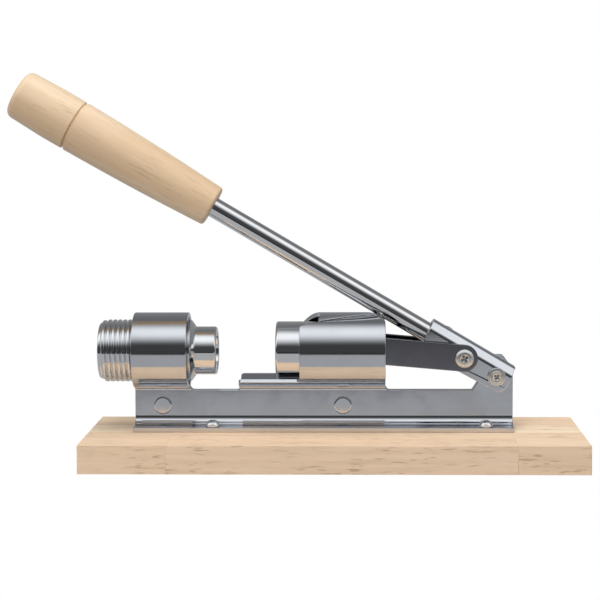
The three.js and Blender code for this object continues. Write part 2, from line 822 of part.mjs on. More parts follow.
function lever() {
  const arm = new THREE.Group();
  arm.position.set(pivotX, 0, pivotHeight);
  arm.rotation.y = turn(leverAngle);
  arm.add(yoke());
  arm.add(yokeRivet());
  arm.add(leverRod());
  arm.add(handleGrip());
  arm.add(post("pivot_post", yokeOuter));
  arm.add(pinScrew("pivot_screw", yokeOuter));
  arm.add(spacer("pivot_spacer_front", -1));
  arm.add(spacer("pivot_spacer_rear", 1));
  arm.add(placed(post("link_post", linkOuter), -crank, 0, 0));
  arm.add(placed(pinScrew("link_screw", linkOuter), -crank, 0, 0));
  return arm;
}

const nutcracker = new THREE.Group();
nutcracker.add(baseBoard());
nutcracker.add(mechanism());

export default nutcracker;
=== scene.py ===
import math

import bmesh
import bpy
from mathutils import Matrix, Vector


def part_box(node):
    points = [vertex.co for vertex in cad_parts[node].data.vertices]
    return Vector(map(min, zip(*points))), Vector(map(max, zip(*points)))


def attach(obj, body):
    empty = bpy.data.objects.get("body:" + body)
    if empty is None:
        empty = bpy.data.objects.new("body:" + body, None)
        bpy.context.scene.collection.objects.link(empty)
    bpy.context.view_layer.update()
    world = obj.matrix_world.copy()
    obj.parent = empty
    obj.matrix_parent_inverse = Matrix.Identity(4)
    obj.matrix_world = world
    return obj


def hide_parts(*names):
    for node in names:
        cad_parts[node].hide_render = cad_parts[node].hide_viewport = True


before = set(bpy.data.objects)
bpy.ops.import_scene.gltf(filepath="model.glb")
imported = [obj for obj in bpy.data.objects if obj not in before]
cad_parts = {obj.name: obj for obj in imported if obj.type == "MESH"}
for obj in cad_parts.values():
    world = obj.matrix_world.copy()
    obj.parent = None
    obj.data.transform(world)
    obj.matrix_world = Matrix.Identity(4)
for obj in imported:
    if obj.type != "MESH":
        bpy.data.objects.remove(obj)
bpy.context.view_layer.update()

MM = 0.001
FIT = 0.3  # room between pieces that turn or slide on each other


def size_of(node):
    """Lowest and highest corner of a CAD node, in millimetres."""
    low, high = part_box(node)
    return low / MM, high / MM


# ---------------------------------------------------------------------------
# Sizes and places
# ---------------------------------------------------------------------------

board_low, board_high = size_of("base_board")
frame_low, frame_high = size_of("frame")
anvil_low, anvil_high = size_of("anvil_screw")
ram_low, ram_high = size_of("ram")
bush_low, bush_high = size_of("anvil_bush")

CENTRE_Y = (frame_low.y + frame_high.y) / 2
BOARD_TOP = board_high.z

# Folded frame, heights above the board's top
SHEET = 2.4
LAYER_GAP = 0.4
FOOT_FLAT = 8.2
FOOT_BEND = 4.5
NECK_BEND = 1.0
BARREL_AXIS = 40.0
BARREL_BORE = 34.4
WEB_HEIGHT = 19.7
LEFT_BARREL_END = frame_low.x + 28.0
TROUGH_START = LEFT_BARREL_END + 26.0
TROUGH_EDGE = 50.0  # degrees below the barrel's axis
RIGHT_BARREL_START = TROUGH_START + 31.1
RIGHT_BARREL_END = RIGHT_BARREL_START + 43.6
PIVOT_X = RIGHT_BARREL_END + 56.4
PIVOT_HEIGHT = 27.4
EAR_HALF_WIDTH = 8.8
EAR_TOP = 37.8
BARREL_RADIUS = BARREL_BORE / 2 + SHEET

# Lever
LEVER_ANGLE = math.radians(30.6)
CRANK = 19.1
ROD_RISE = 1.0
ROD_RADIUS = 5.15
ROD_START = 24.0
GRIP_START = 168.0
GRIP_LENGTH = 115.0
ROD_IN_GRIP = 60.0
GROOVE_FROM_END = 33.3

# Yoke
YOKE_SHEET = 2.3
YOKE_INNER = ROD_RADIUS + FIT
YOKE_OUTER = YOKE_INNER + YOKE_SHEET
YOKE_TOP = ROD_RISE + ROD_RADIUS + FIT + YOKE_SHEET
YOKE_BELOW = 7.6
YOKE_RIVET_REACH = 32.6  # from the pivot

# Links
LINK_SHEET = 2.5
LINK_INNER = YOKE_OUTER + FIT
LINK_OUTER = LINK_INNER + LINK_SHEET
LINK_LENGTH = 54.3
LINK_HALF_HEIGHT = 6.85
RAM_PIN_RISE = 1.8
RAM_PIN_RADIUS = 2.5
RAM_PIN_PLAY = 4.0

PIVOT = Vector((PIVOT_X, CENTRE_Y, BOARD_TOP + PIVOT_HEIGHT))
LEVER_ALONG = Vector((-math.cos(LEVER_ANGLE), 0, math.sin(LEVER_ANGLE)))
LEVER_UP = Vector((math.sin(LEVER_ANGLE), 0, math.cos(LEVER_ANGLE)))
LINK_PIN = PIVOT + LEVER_ALONG * CRANK
BARREL_CENTRE = Vector((0, CENTRE_Y, BOARD_TOP + BARREL_AXIS))
RAM_PIN_Z = BARREL_CENTRE.z + RAM_PIN_RISE
LINK_TILT = math.asin((RAM_PIN_Z - LINK_PIN.z) / LINK_LENGTH)
LINK_ALONG = Vector((-math.cos(LINK_TILT), 0, math.sin(LINK_TILT)))
RAM_PIN = LINK_PIN + LINK_ALONG * LINK_LENGTH

# ---------------------------------------------------------------------------
# Mesh helpers
# ---------------------------------------------------------------------------


def linked(name, data):
    obj = bpy.data.objects.new(name, data)
    bpy.context.scene.collection.objects.link(obj)
    return obj


def discard(obj):
    bpy.data.objects.remove(obj, do_unlink=True)


def baked(obj, name=None):
    """A plain mesh object of what obj shows once its modifiers are worked out."""
    bpy.context.view_layer.update()
    evaluated = obj.evaluated_get(bpy.context.evaluated_depsgraph_get())
    mesh = bpy.data.meshes.new_from_object(evaluated)
    made = linked(name or obj.name, mesh)
    if name is None:
        kept = obj.name
        discard(obj)
        made.name = kept
        mesh.name = kept
    return made


def merged(name, parts):
    """One object from several, their corner normals kept."""
    whole = bmesh.new()
    for part in parts:
        whole.from_mesh(part.data)
        discard(part)
    mesh = bpy.data.meshes.new(name)
    whole.to_mesh(mesh)
    whole.free()
    return linked(name, mesh)


def finished(obj, body, nodes, material=None):
    if material:
        obj.data.materials.clear()
        obj.data.materials.append(material)
    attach(obj, body)
    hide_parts(*nodes)
    return obj


def arc(x, y, radius, start, end, step=6.0):
    """Points of an arc, in degrees."""
    count = max(2, math.ceil(abs(end - start) / step))
    angles = [math.radians(start + (end - start) * i / count) for i in range(count + 1)]
    return [(x + radius * math.cos(a), y + radius * math.sin(a)) for a in angles]


def rounded(corners, steps=6):
    """An outline from corners (x, y) or (x, y, radius)."""
    points = []
    for i, corner in enumerate(corners):
        if len(corner) == 2:
            points.append(tuple(corner))
            continue
        here = Vector(corner[:2])
        before = (Vector(corners[i - 1][:2]) - here).normalized()
        after = (Vector(corners[(i + 1) % len(corners)][:2]) - here).normalized()
        half = before.angle(after) / 2
        middle = here + (before + after).normalized() * (corner[2] / math.sin(half))
        first = here + before * (corner[2] / math.tan(half)) - middle
        last = here + after * (corner[2] / math.tan(half)) - middle
        sweep = -first.angle_signed(last)
        for k in range(steps + 1):
            points.append(tuple(middle + Matrix.Rotation(sweep * k / steps, 2) @ first))
    return points


def side_normal(a, b):
    """Unit normal to the left of the way from a to b."""
    way = Vector((b[0] - a[0], b[1] - a[1]))
    return Vector((-way.y, way.x)).normalized()


def profile_knots(corners, steps=5):
    """Knots (along, radius, normal before, normal after) of a profile whose corners may have a radius."""
    knots = []
    for i, corner in enumerate(corners):
        here = Vector(corner[:2])
        before = side_normal(corners[i - 1], corner) if i else None
        after = side_normal(corner, corners[i + 1]) if i + 1 < len(corners) else None
        if len(corner) == 2 or before is None or after is None:
            knots.append((here, before or after, after or before))
            continue
        back = (Vector(corners[i - 1][:2]) - here).normalized()
        ahead = (Vector(corners[i + 1][:2]) - here).normalized()
        reach = corner[2] / math.tan(back.angle(ahead) / 2)
        turn = before.angle(after)
        outward = 1 if before.cross(after) < 0 else -1
        middle = here + back * reach - before * corner[2] * outward
        for k in range(steps + 1):
            between = before * math.sin(turn * (1 - k / steps)) + after * math.sin(turn * k / steps)
            normal = between / math.sin(turn)
            knots.append((middle + normal * corner[2] * outward, normal, normal))
    return knots


def turned(name, corners, centre, axis, segments=96, steps=5):
    """A turned piece with exact normals. The profile runs along axis with its outer side to the left."""
    along = Vector(axis).normalized()
    across = along.orthogonal().normalized()
    if abs(along.y) < 0.5:
        across = (Vector((0, 1, 0)) - along * along.y).normalized()
    third = along.cross(across)
    knots = profile_knots(corners, steps)
    points, rings, faces, normals = [], [], [], []

    def spoke(j):
        angle = 2 * math.pi * j / segments
        return across * math.cos(angle) + third * math.sin(angle)

    for knot, _, _ in knots:
        if knot.y < 1e-6:
            rings.append([len(points)] * segments)
            points.append(Vector(centre) + along * knot.x)
            continue
        rings.append(list(range(len(points), len(points) + segments)))
        points += [Vector(centre) + along * knot.x + spoke(j) * knot.y for j in range(segments)]
    for k in range(len(knots) - 1):
        low, high = knots[k][2], knots[k + 1][1]
        if (knots[k][0] - knots[k + 1][0]).length < 1e-6:
            continue
        for j in range(segments):
            ring = [(rings[k][j], low, j), (rings[k][(j + 1) % segments], low, j + 1),
                    (rings[k + 1][(j + 1) % segments], high, j + 1), (rings[k + 1][j], high, j)]
            used, face = [], []
            for point, normal, step in ring:
                if point not in used:
                    used.append(point)
                    face.append((point, along * normal.x + spoke(step) * normal.y))
            if len(face) > 2:
                faces.append([point for point, _ in face])
                normals += [normal for _, normal in face]
    mesh = bpy.data.meshes.new(name)
    mesh.from_pydata([p * MM for p in points], [], faces)
    mesh.polygons.foreach_set("use_smooth", [True] * len(mesh.polygons))
    mesh.normals_split_custom_set([n.normalized() for n in normals])
    return linked(name, mesh)


class Fold:
    """The middle line of bent sheet, from straight runs (length,) and bends (radius, degrees)."""

    def __init__(self, start, heading, runs):
        self.parts = []
        place, angle, at = Vector(start), math.radians(heading), 0.0
        for run in runs:
            turn = math.radians(run[1]) if len(run) == 2 else 0.0
            length = abs(turn) * run[0] if turn else run[0]
            self.parts.append((at, length, place.copy(), angle, turn, run[0]))
            place = self.inside(self.parts[-1], length)[0]
            angle += turn
            at += length
        self.length = at

    @staticmethod
    def inside(part, ahead):
        _, length, place, angle, turn, radius = part
        if not turn:
            return place + Vector((math.cos(angle), math.sin(angle))) * ahead, angle
        side = 1 if turn > 0 else -1
        centre = place + Vector((-math.sin(angle), math.cos(angle))) * radius * side
        now = angle + turn * ahead / length
        return centre - Vector((-math.sin(now), math.cos(now))) * radius * side, now

    def at(self, distance):
        part = next((p for p in self.parts if distance <= p[0] + p[1]), self.parts[-1])
        return self.inside(part, distance - part[0])

    def creases(self, step=6.0):
        """Distances at which a flat sheet is cut so that its bends come out round."""
        found = []
        for at, length, _, _, turn, _ in self.parts:
            if turn:
                count = math.ceil(abs(math.degrees(turn)) / step)
                found += [at + length * i / count for i in range(count + 1)]
        return found


RIM_FLATNESS = 1.9  # how much wider than deep a stamped rim is rolled over


def flat_sheet(name, outer, holes, thickness, edge, creases=()):
    """A flat sheet with rounded rims in a bmesh: outline in x and y, thickness along z."""
    curve = bpy.data.curves.new(name, "CURVE")
    curve.dimensions = "2D"
    curve.fill_mode = "BOTH"
    curve.extrude = thickness / 2 * RIM_FLATNESS
    for ring in [outer, *holes]:
        spline = curve.splines.new("POLY")
        spline.points.add(len(ring) - 1)
        for point, (x, y) in zip(spline.points, ring):
            point.co = (x, y, 0, 1)
        spline.use_cyclic_u = True
    blank = baked(linked(name, curve))
    sheet = bmesh.new()
    sheet.from_mesh(blank.data)
    bmesh.ops.remove_doubles(sheet, verts=sheet.verts, dist=1e-4)
    bmesh.ops.dissolve_limit(sheet, angle_limit=math.radians(0.5), verts=sheet.verts, edges=sheet.edges)
    bmesh.ops.recalc_face_normals(sheet, faces=sheet.faces)
    sheet.to_mesh(blank.data)
    sheet.free()
    bevel = blank.modifiers.new("rim", "BEVEL")
    bevel.width = edge
    bevel.segments = 4
    bevel.limit_method = "ANGLE"
    bevel.angle_limit = math.radians(40)
    bevel.use_clamp_overlap = False
    blank = baked(blank)
    sheet = bmesh.new()
    sheet.from_mesh(blank.data)
    discard(blank)
    for vert in sheet.verts:
        vert.co.z /= RIM_FLATNESS
    sheet.normal_update()
    bmesh.ops.triangulate(sheet, faces=[f for f in sheet.faces if len(f.verts) > 4])
    for crease in creases:
        geometry = sheet.verts[:] + sheet.edges[:] + sheet.faces[:]
        bmesh.ops.bisect_plane(sheet, geom=geometry, dist=1e-5, plane_co=(0, crease, 0), plane_no=(0, 1, 0))
    return sheet


def flat_normals(sheet):
    """Normals of a flat sheet's corners: level on its faces, upright on its walls, and round on its rims."""
    kinds = {}
    for face in sheet.faces:
        tilt = abs(face.normal.z)
        kinds[face] = "level" if tilt > 0.985 else "wall" if tilt < 0.04 else "rim"
    normals = []
    for face in sheet.faces:
        for loop in face.loops:
            if kinds[face] == "level":
                normals.append(Vector((0, 0, math.copysign(1, face.normal.z))))
                continue
            around = loop.vert.link_faces
            level = next((f for f in around if kinds[f] == "level"), None)
            flat = Vector((face.normal.x, face.normal.y, 0)).normalized()
            walls = [f for f in around if kinds[f] == "wall" and f.normal.dot(flat) > 0.6]
            rims = [f for f in around if kinds[f] == "rim" and f.normal.dot(face.normal) > 0.5]
            if kinds[face] == "rim" and level:
                normals.append(Vector((0, 0, math.copysign(1, level.normal.z))))
            elif walls:
                normals.append(sum((f.normal for f in walls), Vector()).normalized())
            else:
                normals.append(sum((f.normal for f in rims or [face]), Vector()).normalized())
    return normals


def placed_sheet(name, sheet, place):
    """Turns a flat sheet into a finished object; place(point) gives a point and the three axes there."""
    normals = flat_normals(sheet)
    mesh = bpy.data.meshes.new(name)
    sheet.verts.index_update()
    corners = [loop.vert.index for face in sheet.faces for loop in face.loops]
    spots = [place(v.co) for v in sheet.verts]
    for vert, (point, _) in zip(sheet.verts, spots):
        vert.co = point * MM
    sheet.to_mesh(mesh)
    sheet.free()
    mesh.polygons.foreach_set("use_smooth", [True] * len(mesh.polygons))
    mesh.normals_split_custom_set([
        (spots[corner][1] @ normal).normalized() for corner, normal in zip(corners, normals)
    ])
    return linked(name, mesh)


def axes(first, second, third):
    return Matrix((first, second, third)).transposed()


# ---------------------------------------------------------------------------
# Material helpers
# ---------------------------------------------------------------------------


class Value:
    """A number in a material's nodes. Python's operators on it add Math nodes."""

    def __init__(self, finish, socket):
        self.finish = finish
        self.socket = socket

    def maths(self, operation, *others):
        return self.finish.node("ShaderNodeMath", {"operation": operation}, *others)

    def __add__(self, other):
        return self.maths("ADD", self, other)

    def __mul__(self, other):
        return self.maths("MULTIPLY", self, other)

    def __sub__(self, other):
        return self.maths("SUBTRACT", self, other)

    def __rsub__(self, other):
        return self.maths("SUBTRACT", other, self)

    __radd__ = __add__
    __rmul__ = __mul__

    def between(self, low, high):
        """0 below low, 1 above high, and smooth between them."""
        return self.finish.node(
            "ShaderNodeMapRange", {"interpolation_type": "SMOOTHSTEP"},
            self, low, high, 0.0, 1.0,
        )


class Finish:
    """A material with a Principled shader, and the one method that adds nodes to it."""

    def __init__(self, name, colour, metallic, roughness):
        self.material = bpy.data.materials.new(name)
        self.material.use_nodes = True
        self.tree = self.material.node_tree
        self.shader = self.tree.nodes["Principled BSDF"]
        self.shader.inputs["Metallic"].default_value = metallic
        self.set("Base Color", colour)
        self.set("Roughness", roughness)

    def join(self, value, socket):
        if isinstance(value, Value):
            self.tree.links.new(value.socket, socket)
        elif isinstance(value, (tuple, Vector)) and socket.type == "RGBA" and len(value) == 3:
            socket.default_value = (*value, 1)
        else:
            socket.default_value = value

    def set(self, name, value):
        self.join(value, self.shader.inputs[name])

    def node(self, kind, settings=None, *values, output=0, **named):
        """Adds a node: its settings first, then its sockets in order or by name."""
        made = self.tree.nodes.new(kind)
        for key, setting in (settings or {}).items():
            setattr(made, key, setting)
        free = [s for s in made.inputs if s.enabled]
        for socket, value in zip(free, values):
            if value is not None:
                self.join(value, socket)
        for key, value in named.items():
            self.join(value, next(s for s in free if s.name == key.replace("_", " ")))
        found = [s for s in made.outputs if s.enabled]
        return Value(self, made.outputs[output] if isinstance(output, str) else found[output])

    def place(self):
        return self.node("ShaderNodeTexCoord", output="Object")

    def stretched(self, vector, scale, turn=(0, 0, 0), move=(0, 0, 0)):
        return self.node(
            "ShaderNodeMapping", {}, Vector=vector, Location=move, Rotation=turn, Scale=scale,
        )

    def noise(self, vector, scale, detail=3.0, roughness=0.5):
        return self.node(
            "ShaderNodeTexNoise", {}, Vector=vector, Scale=scale, Detail=detail, Roughness=roughness,
        )

    def mixed(self, share, first, second):
        mix = self.tree.nodes.new("ShaderNodeMix")
        mix.data_type = "RGBA"
        self.join(share, mix.inputs["Factor"])
        colours = [s for s in mix.inputs if s.type == "RGBA"]
        self.join(first, colours[0])
        self.join(second, colours[1])
        return Value(self, next(s for s in mix.outputs if s.type == "RGBA"))

    def bump(self, height, strength, distance):
        self.set("Normal", self.node(
            "ShaderNodeBump", {}, Strength=strength, Distance=distance, Height=height,
        ))


# ---------------------------------------------------------------------------
# Materials
# ---------------------------------------------------------------------------


def board_wood():
    """Pale rubberwood: every stave has its own tone, and short dark pores along the grain."""
    wood = Finish("pale_rubberwood", (0.72, 0.53, 0.35), 0.0, 0.5)
    stave = Value(wood, wood.node("ShaderNodeAttribute", {"attribute_name": "stave"}, output="Fac").socket)
    slide = wood.node("ShaderNodeCombineXYZ", {}, stave * 1.7, stave * 0.9, stave * 0.6)
    place = wood.node("ShaderNodeVectorMath", {"operation": "ADD"}, wood.place(), slide)
    broad = wood.noise(wood.stretched(place, (8, 70, 70)), 1.0, 2.0)
    wander = wood.noise(wood.stretched(place, (10, 34, 34)), 1.0, 2.0)
    fibres = wood.noise(wood.stretched(place, (30, 620, 620)), 1.0, 3.0, 0.6)
    pores = wood.noise(wood.stretched(place, (105, 900, 900)), 1.0, 2.0, 0.5).between(0.585, 0.66)
    patchy = wood.noise(wood.stretched(place, (22, 60, 60)), 1.0, 2.0).between(0.35, 0.6)
    height = wood.node("ShaderNodeSeparateXYZ", {}, place, output=2)
    depth = wood.node("ShaderNodeSeparateXYZ", {}, place, output=1)
    layer = height * 1100.0 + depth * 520.0 + wander * 16.0
    rings = layer.maths("SINE", layer) * 0.5 + 0.5
    base = wood.mixed(stave, (0.88, 0.72, 0.52), (0.82, 0.60, 0.42))
    base = wood.mixed(broad.between(0.35, 0.7) * 0.4, base, (0.73, 0.53, 0.35))
    base = wood.mixed(rings * patchy * 0.26, base, (0.62, 0.43, 0.27))
    base = wood.mixed(fibres.between(0.42, 0.7) * 0.3, base, (0.62, 0.43, 0.26))
    base = wood.mixed(pores * patchy * 0.55, base, (0.36, 0.22, 0.12))
    wood.set("Base Color", base)
    wood.set("Roughness", 0.5 + fibres * 0.14 - broad * 0.06)
    wood.bump(fibres * 0.5 - pores, 0.35, 0.00012)
    wood.shader.inputs["Specular IOR Level"].default_value = 0.4
    return wood.material


def grip_wood():
    """Turned pale wood under a thin satin varnish, its grain along the lever."""
    wood = Finish("varnished_grip_wood", (0.75, 0.56, 0.36), 0.0, 0.34)
    turn = (0, -LEVER_ANGLE, 0)
    place = wood.stretched(wood.place(), (1, 1, 1), turn)
    broad = wood.noise(wood.stretched(place, (9, 55, 55), move=(0.31, 0.05, 0.12)), 1.0, 3.0)
    fibres = wood.noise(wood.stretched(place, (24, 420, 420)), 1.0, 3.0, 0.6)
    flecks = wood.noise(wood.stretched(place, (80, 800, 800)), 1.0, 2.0).between(0.6, 0.7)
    height = wood.node("ShaderNodeSeparateXYZ", {}, place, output=2)
    layer = height * 420.0 + broad * 26.0
    rings = layer.maths("SINE", layer) * 0.5 + 0.5
    base = wood.mixed(broad.between(0.36, 0.62), (0.80, 0.62, 0.42), (0.70, 0.50, 0.315))
    base = wood.mixed(rings * 0.18, base, (0.62, 0.41, 0.24))
    base = wood.mixed(fibres.between(0.42, 0.75) * 0.3, base, (0.60, 0.40, 0.23))
    base = wood.mixed(flecks * 0.4, base, (0.42, 0.26, 0.14))
    wood.set("Base Color", base)
    wood.set("Roughness", 0.36 + fibres * 0.1)
    wood.set("Coat Weight", 0.22 + broad * 0.1)
    wood.shader.inputs["Coat Roughness"].default_value = 0.22
    wood.bump(fibres, 0.12, 0.00008)
    return wood.material


def metal(name, colour, roughness, streak=0.0, spots=0.0, mist=0.04):
    """Plated or polished metal with faint streaks along x, a light mist and rare specks."""
    steel = Finish(name, colour, 1.0, roughness)
    place = steel.place()
    cloud = steel.noise(place, 70.0, 3.0, 0.6)
    lines = steel.noise(steel.stretched(place, (18, 900, 900)), 1.0, 3.0, 0.6)
    fine = steel.noise(steel.stretched(place, (220, 2600, 2600)), 1.0, 2.0, 0.6)
    specks = steel.noise(place, 900.0, 2.0).between(0.72, 0.8)
    share = cloud.between(0.35, 0.7) * mist + lines * streak + specks * spots
    steel.set("Roughness", share + roughness)
    shade = tuple(c * 0.86 for c in colour)
    steel.set("Base Color", steel.mixed(cloud.between(0.3, 0.75) * 0.35 + specks * spots * 4, colour, shade))
    steel.bump(lines * 0.6 + fine * 0.4, 0.02 + streak * 0.5, 0.00004)
    return steel.material


MATERIALS = {
    "board": board_wood(),
    "grip": grip_wood(),
    "plate": metal("bright_plate", (0.66, 0.68, 0.715), 0.085, 0.03, 0.03, 0.04),
    "jaw": metal("jaw_chrome", (0.80, 0.81, 0.825), 0.045, 0.01, 0.02, 0.025),
    "rod": metal("rod_chrome", (0.82, 0.83, 0.84), 0.045, 0.01, 0.01, 0.02),
    "link": metal("polished_link_steel", (0.21, 0.21, 0.235), 0.12, 0.05, 0.03, 0.05),
    "bush": metal("turned_bush_steel", (0.46, 0.465, 0.48), 0.24, 0.05, 0.02, 0.05),
    "fastener": metal("satin_nickel", (0.82, 0.82, 0.80), 0.3, 0.05, 0.03, 0.07),
}

# ---------------------------------------------------------------------------
# Wooden base
# ---------------------------------------------------------------------------

EDGE = 0.45  # rounding of the board's outer edges
JOINT = 0.16  # rounding along a glue joint
ROW_EDGES = [board_low.y, -5.0, 17.0, board_high.y]  # strips, front to back
ROW_CUTS = [  # where each strip's blocks meet, left to right
    [board_low.x, -81.7, 89.8, board_high.x],
    [board_low.x, -38.0, board_high.x],
    [board_low.x, -96.0, 31.0, board_high.x],
]


def block(bm, low, high, stave, rounded_sides):
    """One stave with rounded edges; rounded_sides are the outer sides of the board that it reaches."""
    layer = bm.verts.layers.float["stave"]
    corners = bmesh.ops.create_cube(bm, size=1.0)["verts"]
    middle, extent = (low + high) / 2, high - low
    for vert in corners:
        vert.co = middle + Vector(vert.co[i] * extent[i] for i in range(3))
    outer, inner = [], []
    for edge in {e for v in corners for e in v.link_edges}:
        points = [v.co for v in edge.verts]
        sides = [
            (i, s) for i in range(3) for s in (-1, 1)
            if all(abs(p[i] - (high[i] if s > 0 else low[i])) < 1e-6 for p in points)
        ]
        (outer if all(side in rounded_sides for side in sides) else inner).append(edge)
    made = bmesh.ops.bevel(bm, geom=inner, offset=JOINT, segments=2, profile=0.5, affect="EDGES")
    live = {v for v in corners if v.is_valid} | set(made["verts"])
    keep = [e for e in outer if e.is_valid]
    if keep:
        made = bmesh.ops.bevel(bm, geom=keep, offset=EDGE, segments=5, profile=0.5, affect="EDGES")
        live = {v for v in live if v.is_valid} | set(made["verts"])
    for vert in live:
        vert[layer] = stave


def base_board():
    low, high = board_low, board_high
    bm = bmesh.new()
    bm.verts.layers.float.new("stave")
    tone = 0.37
    for row, (front, back) in enumerate(zip(ROW_EDGES, ROW_EDGES[1:])):
        for start, end in zip(ROW_CUTS[row], ROW_CUTS[row][1:]):
            tone = (tone * 7.13 + 0.291) % 1.0
            sides = {(2, -1), (2, 1)}
            sides |= {(1, -1)} if row == 0 else set()
            sides |= {(1, 1)} if row == len(ROW_CUTS) - 1 else set()
            sides |= {(0, -1)} if start == low.x else set()
            sides |= {(0, 1)} if end == high.x else set()
            block(bm, Vector((start, front, low.z)), Vector((end, back, high.z)), tone, sides)
    for vert in bm.verts:
        vert.co *= MM
    bm.normal_update()
    normals = []
    for face in bm.faces:
        for loop in face.loops:
            around = loop.vert.link_faces
            flat = [f for f in around if max(map(abs, f.normal)) > 0.9999 and f.normal.dot(face.normal) > 0.3]
            if flat:
                normals.append(max(flat, key=lambda f: f.calc_area()).normal.copy())
            else:
                normals.append(sum((f.normal for f in around), Vector()).normalized())
    mesh = bpy.data.meshes.new("wooden_board")
    bm.to_mesh(mesh)
    bm.free()
    mesh.polygons.foreach_set("use_smooth", [True] * len(mesh.polygons))
    mesh.normals_split_custom_set(normals)
    board = linked("wooden_board", mesh)
    finished(board, "frame", ["base_board"], MATERIALS["board"])


base_board()

# ---------------------------------------------------------------------------
# Folded frame: the blank is cut flat, then bent
# ---------------------------------------------------------------------------

BEND_MIDDLE = FOOT_BEND + SHEET / 2
NECK_MIDDLE = NECK_BEND + SHEET / 2
BARREL_MIDDLE = BARREL_RADIUS - SHEET / 2
neck_y = LAYER_GAP / 2 + SHEET + NECK_BEND
neck_z = BARREL_AXIS - math.sqrt((BARREL_RADIUS + NECK_BEND) ** 2 - neck_y ** 2)
neck_turn = 90 - math.degrees(math.atan2(neck_y, BARREL_AXIS - neck_z))
foot_tip = LAYER_GAP / 2 + SHEET + FOOT_BEND + FOOT_FLAT
web_start = SHEET + FOOT_BEND
WEB_LEAN = 2.2  # degrees that the webs spread towards the feet


def wrapped_fold(spread, web):
    return Fold((foot_tip + spread, SHEET / 2), 180, [
        (FOOT_FLAT,), (BEND_MIDDLE, WEB_LEAN - 90), (web,), (NECK_MIDDLE, -neck_turn - WEB_LEAN),
        (BARREL_MIDDLE, 90 + neck_turn),
    ])


upright_web = neck_z - web_start
first_try = wrapped_fold(0, upright_web)
miss = Vector((0, BARREL_AXIS + BARREL_MIDDLE)) - first_try.at(first_try.length)[0]
spread = miss.x + miss.y * math.tan(math.radians(WEB_LEAN))
WRAPPED = wrapped_fold(spread, upright_web + miss.y / math.cos(math.radians(WEB_LEAN)))
STRAIGHT = Fold((foot_tip + spread, SHEET / 2), 180, [
    (FOOT_FLAT,), (BEND_MIDDLE, WEB_LEAN - 90), (upright_web - 1.5,), (80.0, -WEB_LEAN), (80.0,),
])
HALF = WRAPPED.length
WEB_RUN = FOOT_FLAT + BEND_MIDDLE * math.pi / 2


def blank_height(z):
    """Where on the front half of the blank a height of the web or ear lies."""
    return WEB_RUN + z - web_start - HALF


def barrel_place(angle):
    """Where on the front half of the blank an angle below the barrel's top lies, in degrees."""
    return -math.radians(angle) * BARREL_MIDDLE


def barrel_across(y):
    """Where on the blank a distance across the top of the barrel lies."""
    return math.asin(y / BARREL_RADIUS) * BARREL_MIDDLE


def folded_place(point):
    fold = STRAIGHT if point.x > RIGHT_BARREL_END + 10 else WRAPPED
    side = -1 if point.y < 0 else 1
    spot, heading = fold.at(HALF - abs(point.y))
    way = Vector((0, -math.cos(heading), -math.sin(heading) * side))
    out = Vector((0, math.sin(heading) * side, -math.cos(heading)))
    middle = Vector((point.x, CENTRE_Y + spot.x * side, BOARD_TOP + spot.y))
    return middle + out * point.z, axes(Vector((1, 0, 0)), way, out)


def frame_blank():
    """Outline of the blank, x along the frame and y across it, the front foot at -y."""
    left, right = frame_low.x, frame_high.x
    web = blank_height(WEB_HEIGHT)
    trough = barrel_place(90 + TROUGH_EDGE)
    notch = RIGHT_BARREL_START
    end = RIGHT_BARREL_END
    seam = 0.3
    front_notch = [
        (notch, trough, 2.0),
        (notch, barrel_across(-13.6), 1.0),
        (notch + 2.2, barrel_across(-12.9), 1.5),
        (notch + 6.0, barrel_across(-11.6), 3.0),
        (notch + 12.0, barrel_across(-10.6) - seam, 4.0),
        (notch + 24.0, barrel_across(-7.6) - seam, 8.0),
        (end - 6.6, barrel_across(-4.1) - seam, 1.0),
        (end, barrel_across(-10.7), 1.5),
    ]
    rear_notch = [
        (end, barrel_across(10.7), 1.5),
        (end - 7.3, barrel_across(4.1), 1.0),
        (end - 7.3, barrel_across(-4.1) + seam + 0.1, 1.0),
        (notch + 24.0, barrel_across(-7.6) + seam, 8.0),
        (notch + 12.0, barrel_across(-10.6) + seam, 4.0),
        (notch + 10.1, barrel_across(-10.8) + seam, 1.0),
        (notch + 10.3, barrel_across(1.2), 1.0),
        (notch, barrel_across(15.6), 1.0),
        (notch, -trough, 2.0),
    ]
    gap_start, gap_end = LEFT_BARREL_END, TROUGH_START
    ear_left = PIVOT_X - EAR_HALF_WIDTH

    def ear(side):
        up = lambda z: blank_height(z) * -side
        return [
            (ear_left - 3.2, up(WEB_HEIGHT), 0.8),
            (ear_left, up(WEB_HEIGHT + 5.0), 1.5),
            (ear_left, up(EAR_TOP), 7.0),
            (PIVOT_X + 3.6, up(EAR_TOP), 1.8),
            (right, up(30.6), 1.8),
        ]

    outline = [(left, -HALF, 1.2), (right, -HALF, 1.2)]
    outline += list(reversed(ear(-1)))
    outline += [(end, web, 2.6)]
    outline += list(reversed(front_notch))
    outline += [(gap_end, trough, 1.6), (gap_end, web, 1.5), (gap_start, web, 3.0)]
    outline += [(gap_start, -web, 3.0), (gap_end, -web, 1.5), (gap_end, -trough, 1.6)]
    outline += list(reversed(rear_notch))
    outline += [(end, -web, 2.6)]
    outline += ear(1)
    outline += [(right, HALF, 1.2), (left, HALF, 1.2)]
    return rounded(outline)


FRAME_RIM = 0.7
RIVET_HEIGHT = 11.9
RIVET_HOLE = 2.1
SCREW_HOLE = 2.0
SCREW_FROM_TIP = 4.0
POST_HOLE = 3.3
RIVET_XS = [frame_low.x + 14.3, RIGHT_BARREL_START + 21.9]
SCREW_XS = [frame_low.x + 40.7, PIVOT_X - 5.6]
SCREW_Y = foot_tip - SCREW_FROM_TIP


